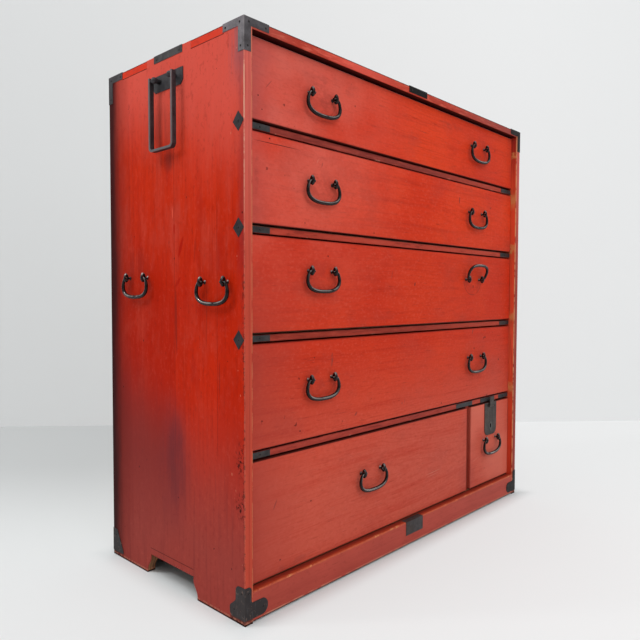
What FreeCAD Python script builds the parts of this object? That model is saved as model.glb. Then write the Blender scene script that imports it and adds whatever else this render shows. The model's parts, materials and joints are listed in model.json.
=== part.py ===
import FreeCAD, Part
import math
import os

# A five-row chest of drawers in lacquered wood with iron fittings, in millimetres.
# +Z is up, the drawers face -Y, +X is to the right of someone facing the drawers.
# The origin lies on the ground, under the middle of the whole object.

Vector = FreeCAD.Vector
os.makedirs("parts", exist_ok=True)

# Case boards
case_width = 908.0
case_depth = 401.0
side_thickness = 16.0
top_thickness = 14.0
divider_thickness = 11.0
divider_setback = 16.0
partition_thickness = 14.0
partition_setback = 18.5
small_bay_width = 192.0
base_rail_height = 50.0
base_rail_thickness = 18.0
rail_ground_gap = 3.0
floor_board_thickness = 10.0
back_thickness = 8.0
back_plank_count = 6
back_ground_gap = 4.0
housing_depth = 5.0
arris_round = 1.5

# Heights of the drawer openings, from the ground up
bottom_row_height = 202.0
fourth_row_height = 174.5
third_row_height = 160.25
second_row_height = 148.75
top_row_height = 132.5

# Finger joints between the top and the sides
finger_inset = 48.0
finger_length = 86.0

# Foot arch in the lower edge of each side
arch_foot_width = 154.0
arch_crown_width = 132.0
arch_height = 37.0
arch_swell = 2.5

# Drawers
drawer_recess = 13.0
drawer_side_gap = 1.5
drawer_gap_above = 3.0
drawer_gap_below = 3.0
drawer_slide_gap = 0.3
drawer_rear_gap = 9.0
drawer_front_thickness = 18.0
drawer_wall_thickness = 9.0
drawer_wall_headroom = 9.0
drawer_floor_thickness = 6.0

# Bails and their posts
bail_bar_radius = 2.6
bail_half_width = 38.0
bail_drop = 33.0
bail_bend_radius = 3.6
bail_corner_radius = 28.5
bail_pin_tip = 23.0
bail_post_half_spacing = 29.5
bail_standoff = 9.0
bail_eye_clearance = 0.3
bail_raised_angle = 160.0
post_knob_radius = 5.4
post_neck_radius = 3.6
post_washer_radius = 6.8
post_washer_thickness = 1.2
post_shank_radius = 2.4
post_shank_clearance = 0.15
post_clinch_radius = 5.0
post_clinch_thickness = 2.0
blind_shank_length = 12.0

# Places of the bails: from the walls of a bay, and above the middle of a drawer front
left_bail_inset = 165.0
top_right_bail_inset = 174.0
second_right_bail_inset = 181.0
third_right_bail_inset = 190.0
fourth_right_bail_inset = 178.0
top_left_bail_rise = 5.0
top_right_bail_rise = 11.5
second_bail_rise = 10.0
third_left_bail_rise = 24.0
third_right_bail_rise = 20.0
fourth_bail_rise = 17.0
wide_bail_rise = 25.0
small_bail_below_lock = 9.25
wide_bail_shift = -27.0
small_bail_shift = -3.0
side_bail_front_height = 532.0
side_bail_rear_height = 542.0
side_bail_front_inset = 70.0
side_bail_rear_inset = 101.0

# Loops that take a carrying pole, one on each side
loop_half_width = 35.5
loop_drop = 122.0
loop_strap_thickness = 4.0
loop_strap_depth = 9.0
loop_corner_radius = 9.0
loop_standoff = 12.5
loop_pin_radius = 2.8
loop_pin_length = 15.0
loop_post_half_spacing = 23.5
loop_pivot_below_top = 47.0
loop_plate_width = 90.0
loop_plate_height = 28.0
loop_plate_thickness = 1.5
loop_plate_corner = 7.0
loop_plate_above_pivot = 11.0
loop_post_radius = 4.2

# Sheet iron
sheet = 0.8
corner_arm_length = 50.0
corner_arm_width = 12.0
corner_leg_length = 50.0
corner_leg_width = 13.5
foot_iron_clear = 8.0
foot_iron_height = 60.0
foot_iron_leg_width = 13.0
foot_iron_reach = 47.0
foot_iron_lobe_height = 26.0
foot_iron_lobe_round = 12.5
foot_iron_inner_round = 3.0
foot_iron_leg_round = 6.5
foot_iron_side_leg_width = 22.0
foot_iron_side_reach = 36.5
foot_iron_side_toe = 16.0
foot_iron_side_waist = 28.0
foot_iron_side_toe_round = 6.0
foot_iron_side_leg_round = 9.0
foot_iron_rear_reach = 37.0
foot_iron_rear_height = 52.0
foot_iron_rear_toe = 5.0
foot_iron_rear_top = 15.0
side_plate_length = 85.0
front_plate_length = 63.0
edge_plate_height = 12.0
edge_plate_flange = 10.0
rail_plate_length = 60.0
rail_plate_height = 28.0
divider_plate_length = 50.0
divider_plate_margin = 0.5
joint_plate_left = 46.0
joint_plate_right = 12.0
strike_plate_left = 45.0
strike_plate_right = 25.0
diamond_half_width = 13.0
diamond_half_height = 15.3
diamond_inset = 13.3

# Lock of the small drawer
lock_plate_width = 58.0
lock_plate_height = 80.0
lock_plate_corner = 16.0
lock_plate_thickness = 1.5
keyhole_below_top = 55.0
keyhole_radius = 3.0
keyhole_slot_width = 3.0
keyhole_slot_length = 9.0
key_bore_radius = 5.0
tongue_width = 20.0
tongue_thickness = 2.0
tongue_above_plate = 14.0
tongue_pivot_below_top = 8.0
tongue_pivot_out = 3.0
tongue_knuckle_radius = 2.2
tongue_pin_radius = 1.3
tongue_pin_clearance = 0.2
tongue_lug_width = 3.0
tongue_lug_gap = 0.4
lock_case_width = 48.0
lock_case_height = 55.0
lock_case_depth = 14.0

# Worked out from the sizes above
row_heights = [bottom_row_height, fourth_row_height, third_row_height, second_row_height, top_row_height]
divider_count = len(row_heights) - 1
case_height = base_rail_height + sum(row_heights) + divider_count * divider_thickness + top_thickness
left = -case_width / 2
right = case_width / 2
left_wall = left + side_thickness
right_wall = right - side_thickness
top_underside = case_height - top_thickness
back_front = case_depth - back_thickness
partition_right = right_wall - small_bay_width
partition_left = partition_right - partition_thickness
lean = math.radians(180.0 - bail_raised_angle)
front_reach = bail_standoff + bail_drop * math.sin(lean) + bail_bar_radius - drawer_recess
depth_shift = -(case_depth - front_reach) / 2


def row_floor(row):
    """Height of the board that a row of drawers slides on, rows counted from the ground up."""
    return base_rail_height + sum(row_heights[:row]) + row * divider_thickness


def save(node, solids):
    """Writes a node, moved from the case front to the object's own frame."""
    shape = Part.makeCompound(solids)
    shape.translate(Vector(0, depth_shift, 0))
    shape.exportStep("parts/" + node + ".step")


def block(x, y, z):
    """A box between two limits on each axis."""
    size = [limits[1] - limits[0] for limits in (x, y, z)]
    return Part.makeBox(size[0], size[1], size[2], Vector(x[0], y[0], z[0]))


def mirrored_in_width(shape):
    return shape.mirror(Vector(0, 0, 0), Vector(1, 0, 0))


def mirrored_in_depth(shape):
    return shape.mirror(Vector(0, case_depth / 2, 0), Vector(0, 1, 0))


def joined(shapes):
    """One solid from shapes that share faces or overlap."""
    result = shapes[0]
    for shape in shapes[1:]:
        result = result.fuse(shape)
    return result.removeSplitter()


def rounded_edges(points, radii):
    """Straight runs through points, with a tangent arc of the given radius at each inner point."""
    edges = []
    start = points[0]
    for corner, following, radius in zip(points[1:-1], points[2:], radii):
        back = (start - corner).normalize()
        ahead = (following - corner).normalize()
        half_angle = back.getAngle(ahead) / 2
        reach = radius / math.tan(half_angle)
        entry = corner + back * reach
        leave = corner + ahead * reach
        middle_way = (back + ahead).normalize()
        middle = corner + middle_way * (radius / math.sin(half_angle) - radius)
        edges.append(Part.LineSegment(start, entry).toShape())
        edges.append(Part.Arc(entry, middle, leave).toShape())
        start = leave
    edges.append(Part.LineSegment(start, points[-1]).toShape())
    return edges


def turned_to(face, shape):
    """Turns a shape made for the front, which points to -Y, so that it points out of the given face."""
    turn = {"front": 0, "left": -90, "right": 90}[face]
    copy = shape.copy()
    copy.rotate(Vector(0, 0, 0), Vector(0, 0, 1), turn)
    return copy


def placed(shape, point):
    copy = shape.copy()
    copy.translate(point)
    return copy


# Case

def make_top():
    top = block((left, right), (0, case_depth), (top_underside, case_height))
    for sockets in side_fingers():
        top = top.cut(sockets)
        top = top.cut(mirrored_in_width(sockets))
    return top


def side_fingers():
    """The left side's own fingers: at the front, in the middle and at the rear."""
    starts = (0, finger_inset + finger_length, case_depth - finger_inset)
    ends = (finger_inset, case_depth - finger_inset - finger_length, case_depth)
    height = (top_underside, case_height)
    return [block((left, left_wall), limits, height) for limits in zip(starts, ends)]


def make_arch():
    """The space under the arch of the left side: two swelled flanks under a flat crown."""
    middle = case_depth / 2
    flank_step = (arch_foot_width - arch_crown_width) / 2

    def point(side, out_of_crown, height):
        return Vector(left, middle + side * (arch_crown_width / 2 + out_of_crown), height)

    edges = []
    for side in (-1, 1):
        foot = point(side, flank_step, 0)
        waist = point(side, flank_step / 2, arch_height / 2)
        crown = point(side, 0, arch_height)
        swell = Vector(0, side * arch_swell, 0)
        lower = (foot + waist) * 0.5 + swell
        upper = (waist + crown) * 0.5 - swell
        edges.append(Part.Arc(foot, lower, waist).toShape())
        edges.append(Part.Arc(waist, upper, crown).toShape())
    edges.append(Part.LineSegment(point(-1, 0, arch_height), point(1, 0, arch_height)).toShape())
    edges.append(Part.LineSegment(point(-1, flank_step, 0), point(1, flank_step, 0)).toShape())
    outline = Part.Face(Part.Wire(Part.sortEdges(edges)[0]))
    return outline.extrude(Vector(side_thickness, 0, 0))


def make_left_side():
    side = joined([block((left, left_wall), (0, case_depth), (0, top_underside))] + side_fingers())
    side = side.cut(make_arch())
    housed = (left_wall - housing_depth, left_wall)
    for row in range(1, len(row_heights)):
        height = (row_floor(row) - divider_thickness, row_floor(row))
        side = side.cut(block(housed, (divider_setback, back_front), height))
    floor_height = (base_rail_height - floor_board_thickness, base_rail_height)
    side = side.cut(block(housed, (base_rail_thickness, back_front), floor_height))
    bore = post_shank_radius + post_shank_clearance
    for place in side_post_places("left"):
        side = side.cut(Part.makeCylinder(bore, blind_shank_length, place, Vector(1, 0, 0)))
    return side


def make_floor_board():
    width = (left_wall - housing_depth, right_wall + housing_depth)
    height = (base_rail_height - floor_board_thickness, base_rail_height)
    return block(width, (base_rail_thickness, back_front), height)


def make_base_rail():
    rail = block((left_wall, right_wall), (0, base_rail_thickness), (rail_ground_gap, base_rail_height))
    front_top = [edge for edge in rail.Edges if runs_along(edge, 0, base_rail_height)]
    rail = rail.makeFillet(arris_round, front_top)
    return rail.cut(block(rail_plate_width(), (0, drawer_recess), rail_flange_height()))


def rail_plate_width():
    return (-rail_plate_length / 2, rail_plate_length / 2)


def rail_flange_height():
    """The rail plate's flange is let in flush with the top of the rail."""
    return (base_rail_height - sheet, base_rail_height)


def runs_along(edge, y, z):
    """True for the edge along the width that lies at this depth and height."""
    box = edge.BoundBox
    return box.YLength + box.ZLength < 0.01 and abs(box.YMin - y) + abs(box.ZMin - z) < 0.01


def make_back_planks():
    plank = (right_wall - left_wall) / back_plank_count
    planks = []
    for number in range(back_plank_count):
        start = left_wall + number * plank
        width = (start, start + plank)
        planks.append(block(width, (back_front, case_depth), (back_ground_gap, top_underside)))
    return planks


def make_divider(row):
    """The board under a row, let into both sides."""
    width = (left_wall - housing_depth, right_wall + housing_depth)
    return block(width, (divider_setback, back_front), (row_floor(row) - divider_thickness, row_floor(row)))


def make_partition():
    height = (base_rail_height, row_floor(1) - divider_thickness)
    return block((partition_left, partition_right), (partition_setback, back_front), height)


# Handles

def make_post(shank_length, clinched):
    """A round-headed post pointing to -Y, its washer seated at y = 0, its eye along X."""
    out = Vector(0, -1, 0)
    washer = Part.makeCylinder(post_washer_radius, post_washer_thickness, Vector(0, 0, 0), out)
    neck = Part.makeCylinder(post_neck_radius, bail_standoff, Vector(0, 0, 0), out)
    knob = Part.makeSphere(post_knob_radius, Vector(0, -bail_standoff, 0))
    shank = Part.makeCylinder(post_shank_radius, shank_length, Vector(0, shank_length, 0), out)
    pieces = [washer, neck, knob, shank]
    if clinched:
        seat = Vector(0, shank_length + post_clinch_thickness, 0)
        pieces.append(Part.makeCylinder(post_clinch_radius, post_clinch_thickness, seat, out))
    post = joined(pieces)
    eye = bail_bar_radius + bail_eye_clearance
    eye_start = Vector(-post_washer_radius, -bail_standoff, 0)
    return post.cut(Part.makeCylinder(eye, 2 * post_washer_radius, eye_start, Vector(1, 0, 0)))


def make_bail():
    """A round bar that hangs from pins along X at the origin, with both ends turned inwards."""
    points = [
        Vector(-bail_pin_tip, 0, 0),
        Vector(-bail_half_width, 0, 0),
        Vector(-bail_half_width, 0, -bail_drop),
        Vector(bail_half_width, 0, -bail_drop),
        Vector(bail_half_width, 0, 0),
        Vector(bail_pin_tip, 0, 0),
    ]
    radii = [bail_bend_radius, bail_corner_radius, bail_corner_radius, bail_bend_radius]
    path = Part.Wire(rounded_edges(points, radii))
    section = Part.Wire(Part.makeCircle(bail_bar_radius, points[0], Vector(1, 0, 0)))
    return path.makePipeShell([section], True, False)


def post_pair(face, shank_length, clinched):
    post = make_post(shank_length, clinched)
    ends = (-bail_post_half_spacing, bail_post_half_spacing)
    return [turned_to(face, placed(post, Vector(end, 0, 0))) for end in ends]


def side_surface(face):
    return left if face == "left" else right


def side_bail_places(face):
    """Where the middle of each bail's seat lies on a side, front one first."""
    surface = side_surface(face)
    return [
        Vector(surface, side_bail_front_inset, side_bail_front_height),
        Vector(surface, case_depth - side_bail_rear_inset, side_bail_rear_height),
    ]


def loop_place(face):
    return Vector(side_surface(face), case_depth / 2, case_height - loop_pivot_below_top)


def side_post_places(face):
    """Every point of a side that a post is driven into."""
    places = []
    for end in (-1, 1):
        for middle in side_bail_places(face):
            places.append(middle + Vector(0, end * bail_post_half_spacing, 0))
        places.append(loop_place(face) + Vector(0, end * loop_post_half_spacing, 0))
    return places


def make_loop():
    """A flat strap bent to a long U that hangs from pins along X at the origin."""
    outer = strap_outline(loop_half_width, loop_drop, loop_corner_radius)
    inner_corner = loop_corner_radius - loop_strap_thickness
    inner_half = loop_half_width - loop_strap_thickness
    inner = strap_outline(inner_half, loop_drop - loop_strap_thickness, inner_corner)
    strap = outer.cut(inner)
    pieces = [strap]
    for end in (-1, 1):
        start = Vector(end * inner_half, 0, 0)
        pieces.append(Part.makeCylinder(loop_pin_radius, loop_pin_length, start, Vector(-end, 0, 0)))
    return joined(pieces)


def strap_outline(half_width, drop, corner):
    """A slab as deep as the strap, from just above the pins down to the drop, with round lower corners."""
    above = loop_strap_depth / 2
    points = [
        Vector(-half_width, loop_strap_depth / 2, above),
        Vector(-half_width, loop_strap_depth / 2, -drop),
        Vector(half_width, loop_strap_depth / 2, -drop),
        Vector(half_width, loop_strap_depth / 2, above),
    ]
    edges = rounded_edges(points, [corner, corner])
    edges.append(Part.LineSegment(points[-1], points[0]).toShape())
    face = Part.Face(Part.Wire(edges))
    return face.extrude(Vector(0, -loop_strap_depth, 0))


def make_loop_mount():
    """A plate with cut lower corners, and two round posts with eyes along X that carry a loop."""
    half = loop_plate_width / 2
    upper = loop_plate_above_pivot
    lower = loop_plate_above_pivot - loop_plate_height
    outline = [
        Vector(-half, 0, upper),
        Vector(half, 0, upper),
        Vector(half, 0, lower + loop_plate_corner),
        Vector(half - loop_plate_corner, 0, lower),
        Vector(loop_plate_corner - half, 0, lower),
        Vector(-half, 0, lower + loop_plate_corner),
        Vector(-half, 0, upper),
    ]
    plate = Part.Face(Part.makePolygon(outline)).extrude(Vector(0, -loop_plate_thickness, 0))
    posts = []
    for end in (-1, 1):
        middle = Vector(end * loop_post_half_spacing, 0, 0)
        out = Vector(0, -1, 0)
        shank_end = middle - out * blind_shank_length
        shank = Part.makeCylinder(post_shank_radius, blind_shank_length, shank_end, out)
        neck = Part.makeCylinder(loop_post_radius, loop_standoff, middle, out)
        head = Part.makeSphere(post_knob_radius, middle + out * loop_standoff)
        eye = loop_pin_radius + bail_eye_clearance
        eye_start = middle + out * loop_standoff - Vector(post_knob_radius, 0, 0)
        post = joined([shank, neck, head])
        posts.append(post.cut(Part.makeCylinder(eye, 2 * post_knob_radius, eye_start, Vector(1, 0, 0))))
        plate = plate.cut(Part.makeCylinder(loop_post_radius, loop_plate_thickness, middle, out))
    return [plate] + posts


# Drawers

def front_height(row):
    """Lower and upper edge of the drawer fronts in a row."""
    floor = row_floor(row)
    return (floor + drawer_gap_below, floor + row_heights[row] - drawer_gap_above)


def above_middle(row, rise):
    """A height on the drawer fronts of a row, from their middle."""
    return sum(front_height(row)) / 2 + rise


class Drawer:
    """One drawer: the bay it fills and the bails on its front."""

    def __init__(self, name, row, bay, bail_places):
        floor = row_floor(row)
        ceiling = floor + row_heights[row]
        self.name = name
        self.width = (bay[0] + drawer_side_gap, bay[1] - drawer_side_gap)
        self.front_height = front_height(row)
        self.floor_height = (floor + drawer_slide_gap, floor + drawer_slide_gap + drawer_floor_thickness)
        self.wall_top = ceiling - drawer_wall_headroom
        self.back_of_front = drawer_recess + drawer_front_thickness
        self.rear = back_front - drawer_rear_gap
        self.bail_seats = [Vector(centre, drawer_recess, height) for centre, height in bail_places]

    def front(self):
        board = block(self.width, (drawer_recess, self.back_of_front), self.front_height)
        face_edges = [edge for edge in board.Edges if abs(edge.BoundBox.YMax - drawer_recess) < 0.01]
        board = board.makeFillet(arris_round, face_edges)
        bore = post_shank_radius + post_shank_clearance
        for seat in self.bail_seats:
            for end in (-bail_post_half_spacing, bail_post_half_spacing):
                place = seat + Vector(end, 0, 0)
                board = board.cut(Part.makeCylinder(bore, drawer_front_thickness, place, Vector(0, 1, 0)))
        return board

    def walls(self):
        height = (self.floor_height[1], self.wall_top)
        depth = (self.back_of_front, self.rear)
        inner = (self.width[0] + drawer_wall_thickness, self.width[1] - drawer_wall_thickness)
        return [
            block((self.width[0], inner[0]), depth, height),
            block((inner[1], self.width[1]), depth, height),
            block(inner, (self.rear - drawer_wall_thickness, self.rear), height),
        ]

    def floor(self):
        return block(self.width, (self.back_of_front, self.rear), self.floor_height)

    def posts(self):
        pair = post_pair("front", drawer_front_thickness, True)
        return [placed(post, seat) for seat in self.bail_seats for post in pair]

    def pivot(self, number):
        return self.bail_seats[number] + Vector(0, -bail_standoff, 0)


def make_drawers():
    full_bay = (left_wall, right_wall)
    wide_bay = (left_wall, partition_left)
    small_bay = (partition_right, right_wall)
    wide_centre = sum(wide_bay) / 2 + wide_bail_shift
    small_centre = sum(small_bay) / 2 + small_bail_shift
    small_height = front_height(0)[1] - lock_plate_height - small_bail_below_lock

    def bail_pair(row, right_inset, left_rise, right_rise):
        return [(left_wall + left_bail_inset, above_middle(row, left_rise)),
                (right_wall - right_inset, above_middle(row, right_rise))]

    return [
        Drawer("top_drawer", 4, full_bay,
               bail_pair(4, top_right_bail_inset, top_left_bail_rise, top_right_bail_rise)),
        Drawer("second_drawer", 3, full_bay,
               bail_pair(3, second_right_bail_inset, second_bail_rise, second_bail_rise)),
        Drawer("third_drawer", 2, full_bay,
               bail_pair(2, third_right_bail_inset, third_left_bail_rise, third_right_bail_rise)),
        Drawer("fourth_drawer", 1, full_bay,
               bail_pair(1, fourth_right_bail_inset, fourth_bail_rise, fourth_bail_rise)),
        Drawer("wide_drawer", 0, wide_bay, [(wide_centre, above_middle(0, wide_bail_rise))]),
        Drawer("small_drawer", 0, small_bay, [(small_centre, small_height)]),
    ]


# Sheet iron fittings

def make_top_corner_iron():
    """Front left top corner: an arm along each of the three edges, bent from one sheet."""
    edge = (left - sheet, left)
    face = (-sheet, 0)
    lid = (case_height, case_height + sheet)
    band = (case_height - corner_arm_width, lid[1])
    leg = (case_height - corner_leg_length, lid[1])
    across = (edge[0], left + corner_arm_length)
    along = (face[0], corner_arm_length)
    return joined([
        block(across, face, band),
        block((edge[0], left + corner_leg_width), face, leg),
        block(edge, along, band),
        block(edge, (face[0], corner_leg_width), leg),
        block(across, (face[0], corner_arm_width), lid),
        block((edge[0], left + corner_arm_width), along, lid),
    ])


def foot_profile():
    """Outline on a front face, measured from the corner: a round-topped leg and a lobed toe."""
    lobe_top = foot_iron_clear + foot_iron_lobe_height
    points = [
        Vector(-sheet, 0, foot_iron_clear),
        Vector(foot_iron_reach, 0, foot_iron_clear),
        Vector(foot_iron_reach, 0, lobe_top),
        Vector(foot_iron_leg_width, 0, lobe_top),
        Vector(foot_iron_leg_width, 0, foot_iron_height),
        Vector(-sheet, 0, foot_iron_height),
    ]
    return points, [foot_iron_lobe_round, foot_iron_lobe_round, foot_iron_inner_round, foot_iron_leg_round]


def foot_side_profile():
    """Outline on a side face: a broad round-topped leg that flares to its toe."""
    points = [
        Vector(-sheet, 0, foot_iron_clear),
        Vector(foot_iron_side_reach, 0, foot_iron_clear),
        Vector(foot_iron_side_reach, 0, foot_iron_clear + foot_iron_side_toe),
        Vector(foot_iron_side_leg_width, 0, foot_iron_clear + foot_iron_side_waist),
        Vector(foot_iron_side_leg_width, 0, foot_iron_height),
        Vector(-sheet, 0, foot_iron_height),
    ]
    return points, [foot_iron_side_toe_round] * 3 + [foot_iron_side_leg_round]


def plate_from(points, radii):
    edges = rounded_edges(points, radii)
    edges.append(Part.LineSegment(points[-1], points[0]).toShape())
    return Part.Face(Part.Wire(edges)).extrude(Vector(0, -sheet, 0))


def wrapped_round_corner(front_plate, side_plate):
    """Two plates made for the front, the second one bent round on to the left side of the front left corner."""
    front = placed(front_plate, Vector(left, 0, 0))
    side = side_plate.mirror(Vector(0, 0, 0), Vector(1, 0, 0))
    side.rotate(Vector(0, 0, 0), Vector(0, 0, 1), -90)
    return joined([front, placed(side, Vector(left, 0, 0))])


def make_front_foot_iron():
    return wrapped_round_corner(plate_from(*foot_profile()), plate_from(*foot_side_profile()))


def make_rear_foot_iron():
    """Made at the front left corner and mirrored to the rear: a leg that slopes out into a toe."""
    points = [
        Vector(-sheet, 0, foot_iron_clear),
        Vector(foot_iron_rear_reach, 0, foot_iron_clear),
        Vector(foot_iron_rear_reach, 0, foot_iron_clear + foot_iron_rear_toe),
        Vector(foot_iron_rear_top, 0, foot_iron_rear_height),
        Vector(-sheet, 0, foot_iron_rear_height),
    ]
    plate = Part.Face(Part.makePolygon(points + points[:1])).extrude(Vector(0, -sheet, 0))
    return mirrored_in_depth(wrapped_round_corner(plate, plate))


def make_corner_irons():
    top_front = make_top_corner_iron()
    irons = [top_front, mirrored_in_depth(top_front), make_front_foot_iron(), make_rear_foot_iron()]
    return irons + [mirrored_in_width(iron) for iron in irons]


def make_edge_plates():
    """Plates bent over the middle of the top's front and side edges and over the base rail."""
    lid = (case_height, case_height + sheet)
    band = (case_height - edge_plate_height, lid[1])
    middle = case_depth / 2
    along = (middle - side_plate_length / 2, middle + side_plate_length / 2)
    side_plate = joined([
        block((left - sheet, left), along, band),
        block((left - sheet, left + edge_plate_flange), along, lid),
    ])
    across = (-front_plate_length / 2, front_plate_length / 2)
    front_plate = joined([
        block(across, (-sheet, 0), band),
        block(across, (-sheet, edge_plate_flange), lid),
    ])
    rail_band = (base_rail_height - rail_plate_height, base_rail_height)
    rail_plate = joined([
        block(rail_plate_width(), (-sheet, 0), rail_band),
        block(rail_plate_width(), (-sheet, drawer_recess), rail_flange_height()),
    ])
    return [side_plate, mirrored_in_width(side_plate), front_plate, rail_plate]


def make_divider_plates():
    face = (divider_setback - sheet, divider_setback)
    plates = []
    for row in range(1, len(row_heights)):
        floor = row_floor(row)
        height = (floor - divider_thickness + divider_plate_margin, floor - divider_plate_margin)
        end = block((left_wall, left_wall + divider_plate_length), face, height)
        plates.append(end)
        plates.append(mirrored_in_width(end))
    floor = row_floor(1)
    height = (floor - divider_thickness + divider_plate_margin, floor - divider_plate_margin)
    joint = (partition_left - joint_plate_left, partition_right + joint_plate_right)
    strike = (lock_centre() - strike_plate_left, lock_centre() + strike_plate_right)
    plates.append(block(joint, face, height))
    plates.append(block(strike, face, height))
    return plates


def make_diamond_plates():
    """Square plates stood on a corner, over the ends of the three upper dividers."""
    plates = []
    for row in range(2, len(row_heights)):
        middle = row_floor(row) - divider_thickness / 2
        outline = [
            Vector(left, diamond_inset - diamond_half_width, middle),
            Vector(left, diamond_inset, middle + diamond_half_height),
            Vector(left, diamond_inset + diamond_half_width, middle),
            Vector(left, diamond_inset, middle - diamond_half_height),
            Vector(left, diamond_inset - diamond_half_width, middle),
        ]
        plate = Part.Face(Part.makePolygon(outline)).extrude(Vector(-sheet, 0, 0))
        plates.append(plate)
        plates.append(mirrored_in_width(plate))
    return plates


# Lock

def lock_centre():
    return (partition_right + right_wall) / 2


def lock_top(drawer):
    """The middle of the lock plate's upper edge, on the drawer's face."""
    return Vector(lock_centre(), drawer_recess, drawer.front_height[1])


def tongue_pivot(drawer):
    out = lock_plate_thickness + tongue_pivot_out
    return lock_top(drawer) + Vector(0, -out, -tongue_pivot_below_top)


def make_lock_plate(drawer):
    """A plate with round lower corners, a keyhole and two lugs for the tongue's pin."""
    half = lock_plate_width / 2
    points = [
        Vector(-half, 0, 0),
        Vector(-half, 0, -lock_plate_height),
        Vector(half, 0, -lock_plate_height),
        Vector(half, 0, 0),
    ]
    edges = rounded_edges(points, [lock_plate_corner, lock_plate_corner])
    edges.append(Part.LineSegment(points[-1], points[0]).toShape())
    plate = Part.Face(Part.Wire(edges)).extrude(Vector(0, -lock_plate_thickness, 0))
    out = Vector(0, -1, 0)
    key = Vector(0, 0, -keyhole_below_top)
    plate = plate.cut(Part.makeCylinder(keyhole_radius, lock_plate_thickness, key, out))
    slot_half = keyhole_slot_width / 2
    slot = block((-slot_half, slot_half), (-lock_plate_thickness, 0), (-keyhole_slot_length, 0))
    plate = plate.cut(placed(slot, key))
    pivot = Vector(0, -lock_plate_thickness - tongue_pivot_out, -tongue_pivot_below_top)
    lug_start = tongue_width / 2 + tongue_lug_gap
    lug_out = tongue_pivot_out + tongue_knuckle_radius
    lug = block((lug_start, lug_start + tongue_lug_width), (-lug_out, 0),
                (-tongue_knuckle_radius, tongue_knuckle_radius))
    lug = placed(lug, Vector(0, -lock_plate_thickness, -tongue_pivot_below_top))
    pin_hole = tongue_pin_radius + tongue_pin_clearance
    lug = lug.cut(Part.makeCylinder(pin_hole, lock_plate_width, pivot - Vector(half, 0, 0), Vector(1, 0, 0)))
    plate = joined([plate, lug, mirrored_in_width(lug)])
    return placed(plate, lock_top(drawer))


def make_lock_tongue(drawer):
    """A strap that stands above the plate in front of the divider, turning on its own pin along X."""
    half = tongue_width / 2
    rise = tongue_above_plate + tongue_pivot_below_top
    strap = block((-half, half), (-tongue_thickness / 2, tongue_thickness / 2), (0, rise))
    knuckle = Part.makeCylinder(tongue_knuckle_radius, tongue_width, Vector(-half, 0, 0), Vector(1, 0, 0))
    pin_half = half + tongue_lug_gap + tongue_lug_width
    pin = Part.makeCylinder(tongue_pin_radius, 2 * pin_half, Vector(-pin_half, 0, 0), Vector(1, 0, 0))
    return placed(joined([strap, knuckle, pin]), tongue_pivot(drawer))


def make_lock_case(drawer):
    """The box behind the plate, fixed to the inner face of the drawer front."""
    key = lock_top(drawer) + Vector(0, 0, -keyhole_below_top)
    half = lock_case_width / 2
    depth = (drawer.back_of_front, drawer.back_of_front + lock_case_depth)
    height = (key.z - lock_case_height / 2, key.z + lock_case_height / 2)
    return block((key.x - half, key.x + half), depth, height)


def with_key_bore(front, drawer):
    key = lock_top(drawer) + Vector(0, 0, -keyhole_below_top)
    return front.cut(Part.makeCylinder(key_bore_radius, drawer_front_thickness, key, Vector(0, 1, 0)))


# Writing the nodes

def save_case():
    left_side = make_left_side()
    save("top_panel", [make_top()])
    save("left_side_panel", [left_side])
    save("right_side_panel", [mirrored_in_width(left_side)])
    save("floor_board", [make_floor_board()])
    save("base_rail", [make_base_rail()])
    save("back_planks", make_back_planks())
    for row in range(1, len(row_heights)):
        save("divider_board_" + str(len(row_heights) - row), [make_divider(row)])
    save("partition_panel", [make_partition()])


def save_fittings():
    save("corner_irons", make_corner_irons())
    save("edge_plates", make_edge_plates())
    save("divider_plates", make_divider_plates())
    save("diamond_plates", make_diamond_plates())


def save_side_handles():
    bail = make_bail()
    loop = make_loop()
    posts = []
    mounts = []
    for face, away in (("left", Vector(-1, 0, 0)), ("right", Vector(1, 0, 0))):
        for end, seat in zip(("front", "rear"), side_bail_places(face)):
            pivot = seat + away * bail_standoff
            save(face + "_side_bail_" + end, [placed(turned_to(face, bail), pivot)])
            posts += [placed(post, seat) for post in post_pair(face, blind_shank_length, False)]
        seat = loop_place(face)
        mounts += [placed(turned_to(face, piece), seat) for piece in make_loop_mount()]
        save(face + "_pole_loop", [placed(turned_to(face, loop), seat + away * loop_standoff)])
    save("side_bail_posts", posts)
    save("pole_loop_mounts", mounts)


def save_drawers():
    bail = make_bail()
    raised_bail = bail.copy()
    raised_bail.rotate(Vector(0, 0, 0), Vector(-1, 0, 0), bail_raised_angle)
    for drawer in make_drawers():
        front = drawer.front()
        if drawer.name == "small_drawer":
            front = with_key_bore(front, drawer)
            save("lock_plate", [make_lock_plate(drawer)])
            save("lock_tongue", [make_lock_tongue(drawer)])
            save("lock_case", [make_lock_case(drawer)])
        save(drawer.name + "_front", [front])
        save(drawer.name + "_walls", drawer.walls())
        save(drawer.name + "_floor", [drawer.floor()])
        save(drawer.name + "_bail_posts", drawer.posts())
        ends = ("left", "right") if len(drawer.bail_seats) == 2 else ("middle",)
        for number, end in enumerate(ends):
            raised = drawer.name == "third_drawer" and end == "right"
            shape = raised_bail if raised else bail
            save(drawer.name + "_bail_" + end, [placed(shape, drawer.pivot(number))])


save_case()
save_fittings()
save_side_handles()
save_drawers()
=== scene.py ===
import json
import math
import bpy
from mathutils import Matrix, Vector

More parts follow.
